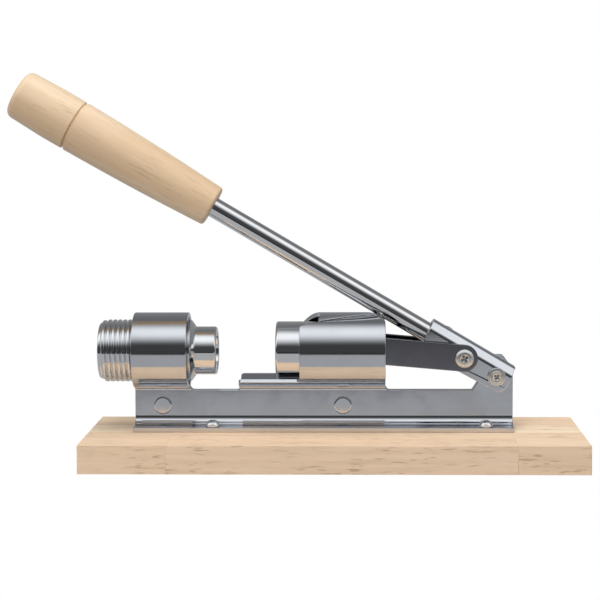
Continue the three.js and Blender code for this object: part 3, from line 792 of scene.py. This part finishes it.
def folded_frame():
    holes = []
    for side in (-1, 1):
        for x in RIVET_XS:
            holes.append(arc(x, blank_height(RIVET_HEIGHT) * -side, RIVET_HOLE, 0, 345, 15))
        for x in SCREW_XS:
            holes.append(arc(x, (HALF - SCREW_FROM_TIP) * side, SCREW_HOLE, 0, 345, 15))
        holes.append(arc(PIVOT_X, blank_height(PIVOT_HEIGHT) * -side, POST_HOLE, 0, 350, 10))
    creases = [c - HALF for c in WRAPPED.creases(5.0)]
    creases += [-c for c in creases]
    sheet = flat_sheet("folded_frame", frame_blank(), holes, SHEET, FRAME_RIM, creases)
    frame_piece = placed_sheet("folded_frame", sheet, folded_place)
    finished(frame_piece, "frame", ["frame"], MATERIALS["plate"])


folded_frame()

# ---------------------------------------------------------------------------
# Rivets and screws: one pattern piece, set out by geometry nodes
# ---------------------------------------------------------------------------


def geometry_tree(name, sockets):
    """A geometry node tree with named inputs, its output, and a function that adds nodes."""
    tree = bpy.data.node_groups.new(name, "GeometryNodeTree")
    tree.is_modifier = True
    tree.interface.new_socket("Geometry", in_out="INPUT", socket_type="NodeSocketGeometry")
    for label, kind in sockets:
        tree.interface.new_socket(label, in_out="INPUT", socket_type=kind)
    tree.interface.new_socket("Geometry", in_out="OUTPUT", socket_type="NodeSocketGeometry")
    inputs = tree.nodes.new("NodeGroupInput")
    outputs = tree.nodes.new("NodeGroupOutput")

    def add(kind, settings=None, **values):
        made = tree.nodes.new(kind)
        for key, setting in (settings or {}).items():
            setattr(made, key, setting)
        for key, value in values.items():
            label = key.replace("_", " ")
            socket = next(s for s in made.inputs if s.name == label and s.enabled)
            if isinstance(value, bpy.types.NodeSocket):
                tree.links.new(value, socket)
            else:
                socket.default_value = value
        return made

    return tree, inputs, outputs, add


def grown(name, base, tree, values):
    """Runs a geometry node tree on base with these named values and returns the plain mesh it makes."""
    modifier = base.modifiers.new(name, "NODES")
    modifier.node_group = tree
    for socket in tree.interface.items_tree:
        if socket.item_type == "SOCKET" and socket.in_out == "INPUT" and socket.name in values:
            modifier[socket.identifier] = values[socket.name]
    made = baked(base, name)
    discard(base)
    made.data.name = name
    return made


def set_out(name, pattern, spots, spin, seed, material):
    """Copies of a pattern piece at the spots, each turned about its own z by up to `spin`."""
    tree, inputs, outputs, add = geometry_tree("set_out_" + name, [
        ("Pattern", "NodeSocketObject"), ("Spin", "NodeSocketFloat"),
        ("Seed", "NodeSocketInt"), ("Material", "NodeSocketMaterial"),
    ])
    pattern_info = add("GeometryNodeObjectInfo", None, Object=inputs.outputs["Pattern"])
    angle = add(
        "FunctionNodeRandomValue", {"data_type": "FLOAT"},
        Max=inputs.outputs["Spin"], Seed=inputs.outputs["Seed"],
    )
    turn = add("ShaderNodeCombineXYZ", None, Z=angle.outputs[1])
    copies = add(
        "GeometryNodeInstanceOnPoints", None, Points=inputs.outputs["Geometry"],
        Instance=pattern_info.outputs["Geometry"], Rotation=turn.outputs[0],
    )
    real = add("GeometryNodeRealizeInstances", None, Geometry=copies.outputs[0])
    coated = add(
        "GeometryNodeSetMaterial", None, Geometry=real.outputs[0], Material=inputs.outputs["Material"],
    )
    tree.links.new(coated.outputs[0], outputs.inputs[0])
    mesh = bpy.data.meshes.new(name)
    mesh.from_pydata([Vector(s) * MM for s in spots], [], [])
    made = grown(name, linked(name + "_spots", mesh), tree, {
        "Pattern": pattern, "Spin": spin, "Seed": seed, "Material": material,
    })
    discard(pattern)
    return made


def subtract(obj, cutter):
    cut = obj.modifiers.new("recess", "BOOLEAN")
    cut.object = cutter
    cut.operation = "DIFFERENCE"
    cut.solver = "EXACT"
    made = baked(obj)
    discard(cutter)
    made.data.polygons.foreach_set("use_smooth", [True] * len(made.data.polygons))
    made.data.set_sharp_from_angle(angle=math.radians(32))
    level = made.modifiers.new("level faces", "WEIGHTED_NORMAL")
    level.keep_sharp = True
    return baked(made)


RECESS_ABOVE = 0.4  # height of the cutter's top above the head
RECESS_TOP_SHARE = 1.12  # of the recess's radius
RECESS_FLOOR_SHARE = 0.5
ARM_BREADTH = 0.22
ARM_TAPER = 0.25


def cross_recess(obj, centre, up, across, radius, depth):
    """Cuts a cross recess in two strokes, one arm after the other."""
    third = up.cross(across)
    for first, second in ((across, third), (third, across)):
        verts = []
        bm = bmesh.new()
        for level, share in ((RECESS_ABOVE, RECESS_TOP_SHARE), (-depth, RECESS_FLOOR_SHARE)):
            for u, v in ((-1, -1), (1, -1), (1, 1), (-1, 1)):
                length = first * u * radius * share
                breadth = second * v * radius * ARM_BREADTH * (share + ARM_TAPER)
                point = centre + up * level + length + breadth
                verts.append(bm.verts.new(point * MM))
        for face in ((3, 2, 1, 0), (4, 5, 6, 7), (0, 1, 5, 4), (1, 2, 6, 5), (2, 3, 7, 6), (3, 0, 4, 7)):
            bm.faces.new([verts[i] for i in face])
        bmesh.ops.recalc_face_normals(bm, faces=bm.faces)
        mesh = bpy.data.meshes.new("arm")
        bm.to_mesh(mesh)
        bm.free()
        obj = subtract(obj, linked("arm", mesh))
    return obj


def web_rivets():
    seat = LAYER_GAP / 2 + SHEET + 0.05
    head = [(seat, 1.8), (seat, 4.7, 0.3), (seat + 0.85, 4.6, 0.5), (seat + 1.05, 3.9, 1.5), (seat + 1.1, 0)]
    tail = [(-p[0], *p[1:]) for p in reversed(head)]
    rivet = turned("rivet", [*tail, *head], (0, 0, 0), (0, 1, 0), 64)
    spots = [(x, CENTRE_Y, BOARD_TOP + RIVET_HEIGHT) for x in RIVET_XS]
    made = set_out("web_rivets", rivet, spots, 0.0, 1, MATERIALS["plate"])
    finished(made, "frame", ["frame_rivet_left", "frame_rivet_right"])


def base_screws():
    shank, head = 1.7, 3.7
    screw = turned("wood_screw", [
        (-10.6, 0), (-8.2, shank, 0.4), (0.0, shank), (0.0, head, 0.25), (0.9, head, 0.6),
        (2.3, 3.0, 1.4), (3.1, 1.5, 1.2), (3.2, 0),
    ], (0, 0, 0), (0, 0, 1), 56)
    screw = cross_recess(screw, Vector((0, 0, 3.1)), Vector((0, 0, 1)), Vector((1, 0, 0)), 1.7, 1.8)
    spots = [
        (x, CENTRE_Y + side * SCREW_Y, BOARD_TOP + SHEET + 0.06) for side in (-1, 1) for x in SCREW_XS
    ]
    made = set_out("base_screws", screw, spots, 1.5, 11, MATERIALS["jaw"])
    nodes = [f"base_screw_{row}_{place}" for row in ("front", "rear") for place in ("left", "right")]
    finished(made, "frame", nodes)


web_rivets()
base_screws()

# ---------------------------------------------------------------------------
# Anvil with its thread, bush and ram
# ---------------------------------------------------------------------------

THREAD_RADIUS = 16.0
THREAD_DEPTH = 1.35
THREAD_PITCH = 2.57
ANVIL_LEFT = anvil_low.x
THREAD_END = LEFT_BARREL_END + 1.0
ANVIL_RIM = anvil_high.x


def helical_thread():
    """Winds a flat strip of ridge into a helix along x, and fades its height out at both ends."""
    tree, inputs, outputs, add = geometry_tree("helical_thread", [
        ("Radius", "NodeSocketFloat"), ("Pitch", "NodeSocketFloat"), ("Turns", "NodeSocketFloat"),
        ("Depth", "NodeSocketFloat"), ("Material", "NodeSocketMaterial"),
    ])

    def value(node):
        return node.outputs[0]

    def maths(operation, first, second=0.0):
        node = add("ShaderNodeMath", {"operation": operation})
        for socket, item in zip(node.inputs, (first, second)):
            if isinstance(item, bpy.types.NodeSocket):
                tree.links.new(item, socket)
            else:
                socket.default_value = item
        return node.outputs[0]

    place = value(add("GeometryNodeInputPosition"))
    split = add("ShaderNodeSeparateXYZ", None, Vector=place)
    turn, level, height = split.outputs[0], split.outputs[1], split.outputs[2]
    angle = maths("MULTIPLY", turn, 2 * math.pi)
    rise = maths("MULTIPLY", turn, inputs.outputs["Pitch"])
    along = maths("ADD", rise, maths("MULTIPLY", level, inputs.outputs["Pitch"]))
    first = maths("MINIMUM", maths("MULTIPLY", turn, 3.0), 1.0)
    last = maths("MINIMUM", maths("MULTIPLY", maths("SUBTRACT", inputs.outputs["Turns"], turn), 3.0), 1.0)
    fade = maths("MULTIPLY", first, last)
    raised = maths("MULTIPLY", maths("MULTIPLY", height, inputs.outputs["Depth"]), fade)
    radius = maths("ADD", maths("SUBTRACT", inputs.outputs["Radius"], inputs.outputs["Depth"]), raised)
    spot = add(
        "ShaderNodeCombineXYZ", None, X=along,
        Y=maths("MULTIPLY", radius, maths("COSINE", angle)),
        Z=maths("MULTIPLY", radius, maths("SINE", angle)),
    )
    wound = add("GeometryNodeSetPosition", None, Geometry=inputs.outputs["Geometry"], Position=value(spot))
    smooth = add("GeometryNodeSetShadeSmooth", None, Geometry=value(wound))
    real = add("GeometryNodeRealizeInstances", None, Geometry=value(smooth))
    coated = add(
        "GeometryNodeSetMaterial", None, Geometry=value(real), Material=inputs.outputs["Material"],
    )
    tree.links.new(value(coated), outputs.inputs[0])
    return tree


def thread_strip(turns):
    """A strip for the thread's tree: x counts turns, y crosses one pitch, z is the ridge's height."""
    half = [(0.5, 0.0), (0.46, 0.04), (0.42, 0.2), (0.34, 0.68), (0.28, 0.88), (0.18, 0.98), (0.06, 1.0)]
    ridge = [(-level, height) for level, height in half] + half[::-1]
    around = 84
    count = int(turns * around)
    points = [(turns * i / count, level, height) for i in range(count + 1) for level, height in ridge]
    inner = len(points)
    points += [(turns * i / count, level, -1.2) for i in range(count + 1) for level in (-0.5, 0.5)]
    width = len(ridge)
    faces = []
    for i in range(count):
        for k in range(width - 1):
            a, b = i * width + k, (i + 1) * width + k
            faces.append((a, a + 1, b + 1, b))
        low, high = inner + 2 * i, inner + 2 * (i + 1)
        a, b = i * width, (i + 1) * width
        faces += [
            (low, a, b, high),
            (low + 1, high + 1, b + width - 1, a + width - 1),
            (low, high, high + 1, low + 1),
        ]
    faces.append([inner + 1, *range(width - 1, -1, -1), inner][::-1])
    last = count * width
    faces.append([inner + 2 * count, *range(last, last + width), inner + 2 * count + 1][::-1])
    mesh = bpy.data.meshes.new("thread_strip")
    mesh.from_pydata(points, [], faces)
    return linked("thread_strip", mesh)


def anvil():
    core = THREAD_RADIUS - THREAD_DEPTH
    cup_rim, cup_depth = 9.6, 7.0
    body = turned("anvil_body", [
        (ANVIL_LEFT, 0), (ANVIL_LEFT, core - 0.5, 0.5), (ANVIL_LEFT + 1.2, core),
        (THREAD_END - 0.2, core, 0.3),
        (THREAD_END - 0.2, 15.7, 0.2), (THREAD_END + 0.3, 15.7, 0.4), (THREAD_END + 2.3, 13.0, 0.5),
        (THREAD_END + 2.6, 12.3, 0.5), (ANVIL_RIM, 12.3, 1.3), (ANVIL_RIM, cup_rim, 0.6),
        (ANVIL_RIM - cup_depth, cup_rim - 0.5, 6.2), (ANVIL_RIM - cup_depth, 0),
    ], BARREL_CENTRE, (1, 0, 0), 120, 7)
    slot = linked("slot", bpy.data.meshes.new("slot"))
    bm = bmesh.new()
    bmesh.ops.create_cube(bm, size=1.0)
    for vert in bm.verts:
        vert.co = (BARREL_CENTRE + Vector((ANVIL_LEFT, 0, 0)) + Vector((
            vert.co.x * 5.2, vert.co.y * 3.2, vert.co.z * 40))) * MM
    bm.to_mesh(slot.data)
    bm.free()
    body = subtract(body, slot)
    length = THREAD_END - 0.3 - (ANVIL_LEFT + 0.5)
    turns = (length - THREAD_PITCH) / THREAD_PITCH
    thread = grown("thread", thread_strip(turns), helical_thread(), {
        "Radius": THREAD_RADIUS * MM, "Pitch": THREAD_PITCH * MM, "Turns": turns,
        "Depth": THREAD_DEPTH * MM, "Material": MATERIALS["jaw"],
    })
    start = BARREL_CENTRE + Vector((ANVIL_LEFT + 0.5 + THREAD_PITCH / 2, 0, 0))
    thread.data.transform(Matrix.Translation(start * MM))
    thread.data.set_sharp_from_angle(angle=math.radians(38))
    whole = merged("threaded_anvil", [body, thread])
    finished(whole, "anvil", ["anvil_screw"], MATERIALS["jaw"])


def bush():
    inner, outer = THREAD_RADIUS + 0.3, BARREL_BORE / 2 - 0.15
    ring = turned("threaded_bush", [
        (bush_low.x, inner), (bush_low.x, outer, 0.2), (bush_high.x, outer, 0.2), (bush_high.x, inner, 0.2),
        (bush_low.x, inner),
    ], BARREL_CENTRE, (1, 0, 0), 96)
    finished(ring, "frame", ["anvil_bush"], MATERIALS["bush"])


def ram():
    nose, collar_end = ram_low.x, RAM_PIN.x - 9.0
    collar = BARREL_BORE / 2 - 0.3
    body = turned("ram_body", [
        (nose + 6.0, 0), (nose + 6.0, 9.5, 5.2), (nose, 10.0, 0.6), (nose, 14.9, 1.3),
        (collar_end - 11.0, 14.9, 0.4), (collar_end - 11.0, collar, 0.5),
        (collar_end, collar, 0.5), (collar_end, 0),
    ], BARREL_CENTRE, (1, 0, 0), 120, 7)
    tongue_end = ram_high.x
    outer = rounded([
        (collar_end - 0.6, -12.0), (tongue_end, -12.0, 4.0),
        (tongue_end, 12.0, 4.0), (collar_end - 0.6, 12.0),
    ])
    shift, rise = 0.95, 0.12
    hole = arc(RAM_PIN.x - shift, RAM_PIN_RISE + rise, RAM_PIN_RADIUS + RAM_PIN_PLAY, 0, 350, 10)
    width = 2 * (LINK_INNER - FIT)
    flat = flat_sheet("tongue", outer, [hole], width, 0.5)
    turn = axes(Vector((1, 0, 0)), Vector((0, 0, 1)), Vector((0, -1, 0)))
    tongue = placed_sheet("tongue", flat, lambda p: (BARREL_CENTRE + turn @ p, turn))
    finished(merged("ram_jaw", [body, tongue]), "ram", ["ram"], MATERIALS["jaw"])


anvil()
bush()
ram()

# ---------------------------------------------------------------------------
# Links, pins and posts
# ---------------------------------------------------------------------------

def links():
    up = Vector((math.sin(LINK_TILT), 0, math.cos(LINK_TILT)))
    turn = axes(-LINK_ALONG, up, Vector((0, -1, 0)))
    outer = arc(0, 0, LINK_HALF_HEIGHT, -90, 90, 5) + arc(-LINK_LENGTH, 0, LINK_HALF_HEIGHT, 90, 270, 5)
    holes = [arc(0, 0, POST_HOLE, 0, 350, 10), arc(-LINK_LENGTH, 0, 2.8, 0, 350, 10)]
    for name, node, side in (("front_link", "link_front", -1), ("rear_link", "link_rear", 1)):
        centre = LINK_PIN + Vector((0, side * (LINK_INNER + LINK_OUTER) / 2, 0))
        flat = flat_sheet(name, outer, holes, LINK_SHEET, 0.9)
        plate = placed_sheet(name, flat, lambda p, c=centre: (c + turn @ p, turn))
        finished(plate, "links", [node], MATERIALS["link"])


def ram_pin():
    seat, end, head = LINK_OUTER + 0.3, LINK_OUTER + 1.3, 3.8
    half = [(seat, RAM_PIN_RADIUS), (seat, head, 0.25), (end, head, 0.45), (end, 0)]
    other = [(-p[0], *p[1:]) for p in reversed(half)]
    pin = turned("turned_ram_pin", [*other, *half], RAM_PIN, (0, 1, 0), 56)
    finished(pin, "links", ["ram_pin"], MATERIALS["link"])


def cross_screw(name, centre, reach, node):
    """Pan-head screw at the front, its shank inside the post."""
    seat = reach + 0.05
    screw = turned(name, [
        (-seat + 8.0, 0), (-seat + 8.0, 1.5, 0.3), (-seat, 1.5), (-seat, 4.75, 0.3), (-seat - 0.9, 4.75, 0.6),
        (-seat - 2.0, 3.3, 2.4), (-seat - 2.2, 0),
    ][::-1], centre, (0, 1, 0), 72)
    front = centre + Vector((0, -seat - 2.15, 0))
    across = Vector((math.cos(0.5), 0, math.sin(0.5)))
    screw = cross_recess(screw, front, Vector((0, -1, 0)), across, 2.0, 2.4)
    finished(screw, "lever", [node], MATERIALS["fastener"])


def stepped_screw(name, centre, reach, node):
    """Screw with a broad flange and a raised boss, a small cross in its middle."""
    seat = reach + 0.05
    screw = turned(name, [
        (-seat - 2.2, 0), (-seat - 2.2, 2.9, 0.5), (-seat - 1.15, 3.15, 0.2), (-seat - 1.0, 4.5, 0.5),
        (-seat, 4.75, 0.2), (-seat, 1.5), (-seat + 8.0, 1.5, 0.3), (-seat + 8.0, 0),
    ], centre, (0, 1, 0), 72)
    front = centre + Vector((0, -seat - 2.2, 0))
    across = Vector((math.cos(0.9), 0, math.sin(0.9)))
    screw = cross_recess(screw, front, Vector((0, -1, 0)), across, 1.45, 2.0)
    finished(screw, "lever", [node], MATERIALS["fastener"])


def hollow_post(name, centre, reach, node):
    seat = reach + 0.05
    post = turned(name, [
        (-reach + 9.0, 0), (-reach + 9.0, 1.9), (-reach, 1.9, 0.2), (-reach, 3.0, 0.3),
        (seat, 3.0), (seat, 4.75, 0.3),
        (seat + 1.5, 4.75, 0.7), (seat + 2.2, 3.6, 0.8), (seat + 2.2, 0),
    ], centre, (0, 1, 0), 72)
    finished(post, "lever", [node], MATERIALS["fastener"])


def spacers():
    start, end = LAYER_GAP / 2 + SHEET + 0.3, YOKE_INNER - 0.3
    outer = 5.2
    section = [
        (start, POST_HOLE), (start, outer, 0.3), (end, outer, 0.3), (end, POST_HOLE), (start, POST_HOLE),
    ]
    for row, side in (("front", -1), ("rear", 1)):
        ring = turned(f"{row}_spacer", section, PIVOT, (0, side, 0), 56)
        finished(ring, "lever", [f"pivot_spacer_{row}"], MATERIALS["fastener"])


links()
ram_pin()
hollow_post("link_post_rear", LINK_PIN, LINK_OUTER, "link_post")
cross_screw("link_screw_front", LINK_PIN, LINK_OUTER, "link_screw")
hollow_post("pivot_post_rear", PIVOT, YOKE_OUTER, "pivot_post")
stepped_screw("pivot_screw_front", PIVOT, YOKE_OUTER, "pivot_screw")
spacers()

# ---------------------------------------------------------------------------
# Lever: yoke, rod and grip
# ---------------------------------------------------------------------------

YOKE_BEND = 2.2  # radius of the middle line at each of the two bends of a side
SHOULDER_SLOPE = 52  # degrees
SHOULDER_LENGTH = 3.2
yoke_half = YOKE_OUTER - YOKE_SHEET / 2
yoke_top = YOKE_TOP - YOKE_SHEET / 2
slope = math.radians(SHOULDER_SLOPE)
shoulder_run = YOKE_BEND + SHOULDER_LENGTH * math.cos(slope)
shoulder_drop = YOKE_BEND + SHOULDER_LENGTH * math.sin(slope)
YOKE_FOLD = Fold((0, yoke_top), 0, [
    (yoke_half - shoulder_run,), (YOKE_BEND, -SHOULDER_SLOPE),
    (SHOULDER_LENGTH,), (YOKE_BEND, SHOULDER_SLOPE - 90),
    (yoke_top - shoulder_drop + YOKE_BELOW,),
])


def yoke_across(height):
    """Where on the yoke's blank a height of its side lies."""
    return YOKE_FOLD.length - (height + YOKE_BELOW)


def yoke_place(point):
    """x of the blank runs away from the grip, y across it from front to rear."""
    side = -1 if point.y < 0 else 1
    spot, heading = YOKE_FOLD.at(abs(point.y))
    way = Vector((0, math.cos(heading), 0)) + LEVER_UP * math.sin(heading) * side
    out = Vector((0, -math.sin(heading) * side, 0)) + LEVER_UP * math.cos(heading)
    middle = PIVOT - LEVER_ALONG * point.x + Vector((0, spot.x * side, 0)) + LEVER_UP * spot.y
    return middle + out * point.z, axes(-LEVER_ALONG, way, out)


def yoke():
    length, back = 41.7, 7.2
    bottom = YOKE_FOLD.length
    half = [
        (back - 0.6, 5.0, 1.5),
        (back, yoke_across(1.0), 1.2),
        (back, yoke_across(-3.0), 1.4),
        (back - 2.0, bottom - 0.9, 1.2),
        (-CRANK, bottom),
        (-length + 0.6, bottom, 0.6),
        (-length, yoke_across(4.0), 2.0),
    ]
    outline = rounded([(x, -y, *r) for x, y, *r in reversed(half)] + half)
    holes = []
    for side in (-1, 1):
        for x in (0, -CRANK):
            holes.append(arc(x, side * yoke_across(0), POST_HOLE, 0, 350, 10))
    holes.append(arc(-YOKE_RIVET_REACH, 0, 1.8, 0, 345, 15))
    creases = YOKE_FOLD.creases(9.0)
    creases += [-c for c in creases]
    sheet = flat_sheet("folded_yoke", outline[::-1], holes, YOKE_SHEET, 0.7, creases)
    made = placed_sheet("folded_yoke", sheet, yoke_place)
    finished(made, "lever", ["yoke"], MATERIALS["plate"])


def yoke_rivet():
    centre = PIVOT + LEVER_ALONG * YOKE_RIVET_REACH
    rivet = turned("yoke_rivet_head", [
        (-3.8, 0), (-3.8, 1.5, 0.2), (YOKE_TOP - 0.5, 1.5), (YOKE_TOP - 0.5, 2.5, 0.2),
        (YOKE_TOP + 0.1, 2.2, 0.4),
        (YOKE_TOP + 0.45, 1.1, 1.0), (YOKE_TOP + 0.5, 0),
    ], centre, LEVER_UP, 40)
    finished(rivet, "lever", ["yoke_rivet"], MATERIALS["fastener"])


def rod():
    centre = PIVOT + LEVER_UP * ROD_RISE
    made = turned("steel_rod", [
        (ROD_START, 0), (ROD_START, ROD_RADIUS, 1.0),
        (GRIP_START + ROD_IN_GRIP, ROD_RADIUS, 1.0), (GRIP_START + ROD_IN_GRIP, 0),
    ], centre, LEVER_ALONG, 96, 6)
    finished(made, "lever", ["lever_rod"], MATERIALS["rod"])


def grip():
    """Turned from its neck at the rod to its free end."""
    start, end = GRIP_START, GRIP_START + GRIP_LENGTH
    groove = end - GROOVE_FROM_END
    steps = 14
    bore, bore_end = ROD_RADIUS + FIT, start + ROD_IN_GRIP + 1
    neck, waist, swell = 10.65, 13.4, 0.5
    corners = [(bore_end, 0), (bore_end, bore), (start, bore, 0.6), (start, 10.3, 1.6)]
    for i in range(steps + 1):
        share = i / steps
        along = start + 1.6 + (groove - 0.9 - start - 1.6) * share
        radius = neck + (waist - neck) * share + swell * math.sin(math.pi * share)
        corners.append((along, radius, 4.0 if 0 < i < steps else 0.35))
    corners += [
        (groove - 0.5, 12.2, 0.2), (groove + 0.1, 12.2, 0.2), (groove + 0.7, 13.35, 0.4),
        (groove + 12.0, 13.42, 8.0), (end - 6.0, 12.9, 6.0), (end, 12.75, 3.4), (end, 0),
    ]
    made = turned("turned_grip", corners, PIVOT + LEVER_UP * ROD_RISE, LEVER_ALONG, 120, 4)
    finished(made, "lever", ["handle_grip"], MATERIALS["grip"])


yoke()
yoke_rivet()
rod()
grip()

# ---------------------------------------------------------------------------
# Studio: floor, surrounding light, lamps and camera
# ---------------------------------------------------------------------------


def seen_directly(tree, plain, direct):
    """A shader that the camera sees as `direct` while everything else is lit by `plain`."""
    path = tree.nodes.new("ShaderNodeLightPath")
    mix = tree.nodes.new("ShaderNodeMixShader")
    tree.links.new(path.outputs["Is Camera Ray"], mix.inputs[0])
    tree.links.new(plain, mix.inputs[1])
    tree.links.new(direct, mix.inputs[2])
    return mix.outputs[0]


def glow(tree, kind, colour, strength):
    node = tree.nodes.new(kind)
    node.inputs["Color"].default_value = (*colour, 1)
    node.inputs["Strength"].default_value = strength
    return node


def pale_floor(name, front, back, bright):
    """A part of the floor, from front to back along y, that looks this bright in reflections."""
    mesh = bpy.data.meshes.new(name)
    level = -0.0002
    corners = [(-6.0, front, level), (6.0, front, level), (6.0, back, level), (-6.0, back, level)]
    mesh.from_pydata(corners, [], [(0, 1, 2, 3)])
    material = bpy.data.materials.new(name)
    material.use_nodes = True
    tree = material.node_tree
    tree.nodes.remove(tree.nodes["Principled BSDF"])
    plain = glow(tree, "ShaderNodeEmission", (0.97, 0.98, 1.0), bright)
    direct = glow(tree, "ShaderNodeEmission", (1, 1, 1), 1.0)
    surface = seen_directly(tree, plain.outputs[0], direct.outputs[0])
    tree.links.new(surface, tree.nodes["Material Output"].inputs["Surface"])
    mesh.materials.append(material)
    floor = linked(name, mesh)


ROOM_DARK = 0.05
BOX_BRIGHT = 0.96
WALL_DIM = 0.16
FLOOR_GLOW = 0.28


def soft_edge(start, end, first, last, count=6):
    """Stops of a light's soft edge, from one height and brightness to the next."""
    shares = [i / count for i in range(count + 1)]
    return [
        (start + (end - start) * t, first + (last - first) * t * t * (3 - 2 * t)) for t in shares
    ]


def surrounding_light():
    """A long soft box over the front, a dark room behind the camera and a dim back wall.

    Heights are in degrees: 0 is level behind the camera, 90 overhead and 180 level at the back.
    """
    world = bpy.data.worlds.new("studio")
    bpy.context.scene.world = world
    world.use_nodes = True
    tree = world.node_tree
    plain = tree.nodes["Background"]
    direction = tree.nodes.new("ShaderNodeTexCoord")
    split = tree.nodes.new("ShaderNodeSeparateXYZ")
    tree.links.new(direction.outputs["Generated"], split.inputs[0])
    front = tree.nodes.new("ShaderNodeMath")
    front.operation = "MULTIPLY"
    tree.links.new(split.outputs["Y"], front.inputs[0])
    front.inputs[1].default_value = -1
    angle = tree.nodes.new("ShaderNodeMath")
    angle.operation = "ARCTAN2"
    tree.links.new(split.outputs["Z"], angle.inputs[0])
    tree.links.new(front.outputs[0], angle.inputs[1])
    share = tree.nodes.new("ShaderNodeMapRange")
    tree.links.new(angle.outputs[0], share.inputs["Value"])
    share.inputs["From Min"].default_value = -math.pi
    share.inputs["From Max"].default_value = math.pi
    ramp = tree.nodes.new("ShaderNodeValToRGB")
    tree.links.new(share.outputs[0], ramp.inputs[0])
    stops = [(-180, FLOOR_GLOW), (-4, ROOM_DARK), (12, ROOM_DARK)]
    stops += soft_edge(22, 60, ROOM_DARK, BOX_BRIGHT)
    stops += soft_edge(68, 100, BOX_BRIGHT, WALL_DIM)
    stops += [(120, WALL_DIM), (180, FLOOR_GLOW)]
    while len(ramp.color_ramp.elements) < len(stops):
        ramp.color_ramp.elements.new(0.5)
    for element, (degrees, bright) in zip(ramp.color_ramp.elements, stops):
        element.position = (degrees + 180) / 360
        element.color = (bright * 0.965, bright * 0.98, bright, 1)
    tree.links.new(ramp.outputs[0], plain.inputs["Color"])
    plain.inputs["Strength"].default_value = 1.2
    direct = glow(tree, "ShaderNodeBackground", (1, 1, 1), 1.0)
    surface = seen_directly(tree, plain.outputs[0], direct.outputs[0])
    tree.links.new(surface, tree.nodes["World Output"].inputs["Surface"])


def lamp(name, place, target, width, height, watts):
    data = bpy.data.lights.new(name, "AREA")
    data.shape = "RECTANGLE"
    data.size, data.size_y = width, height
    data.energy = watts
    light = linked(name, data)
    light.location = place
    light.rotation_mode = "QUATERNION"
    light.rotation_quaternion = (Vector(target) - Vector(place)).to_track_quat("-Z", "Y")
    light.visible_glossy = False
    light.visible_camera = False


def camera():
    data = bpy.data.cameras.new("camera")
    data.lens = 100.62
    data.sensor_width = 36
    data.clip_end = 50
    view = linked("camera", data)
    pitch, yaw, roll = math.radians(90 - 5.706), math.radians(1.998), math.radians(-0.29)
    turn = Matrix.Rotation(yaw, 4, "Z") @ Matrix.Rotation(pitch, 4, "X") @ Matrix.Rotation(roll, 4, "Z")
    view.matrix_world = Matrix.Translation(Vector((12.35, -843.94, 165.41)) * MM) @ turn
    bpy.context.scene.camera = view


pale_floor("pale_floor_near", -0.5, 6.0, 0.47)
pale_floor("pale_floor_far", -6.0, -0.5, 0.03)
surrounding_light()
lamp("front_fill", (-0.5, -1.3, 0.7), (0, 0, 0.06), 1.0, 0.8, 11)
lamp("top_fill", (0.1, -0.1, 1.4), (0, 0, 0.05), 1.2, 0.8, 12)
camera()
bpy.context.scene.view_settings.view_transform = "Standard"
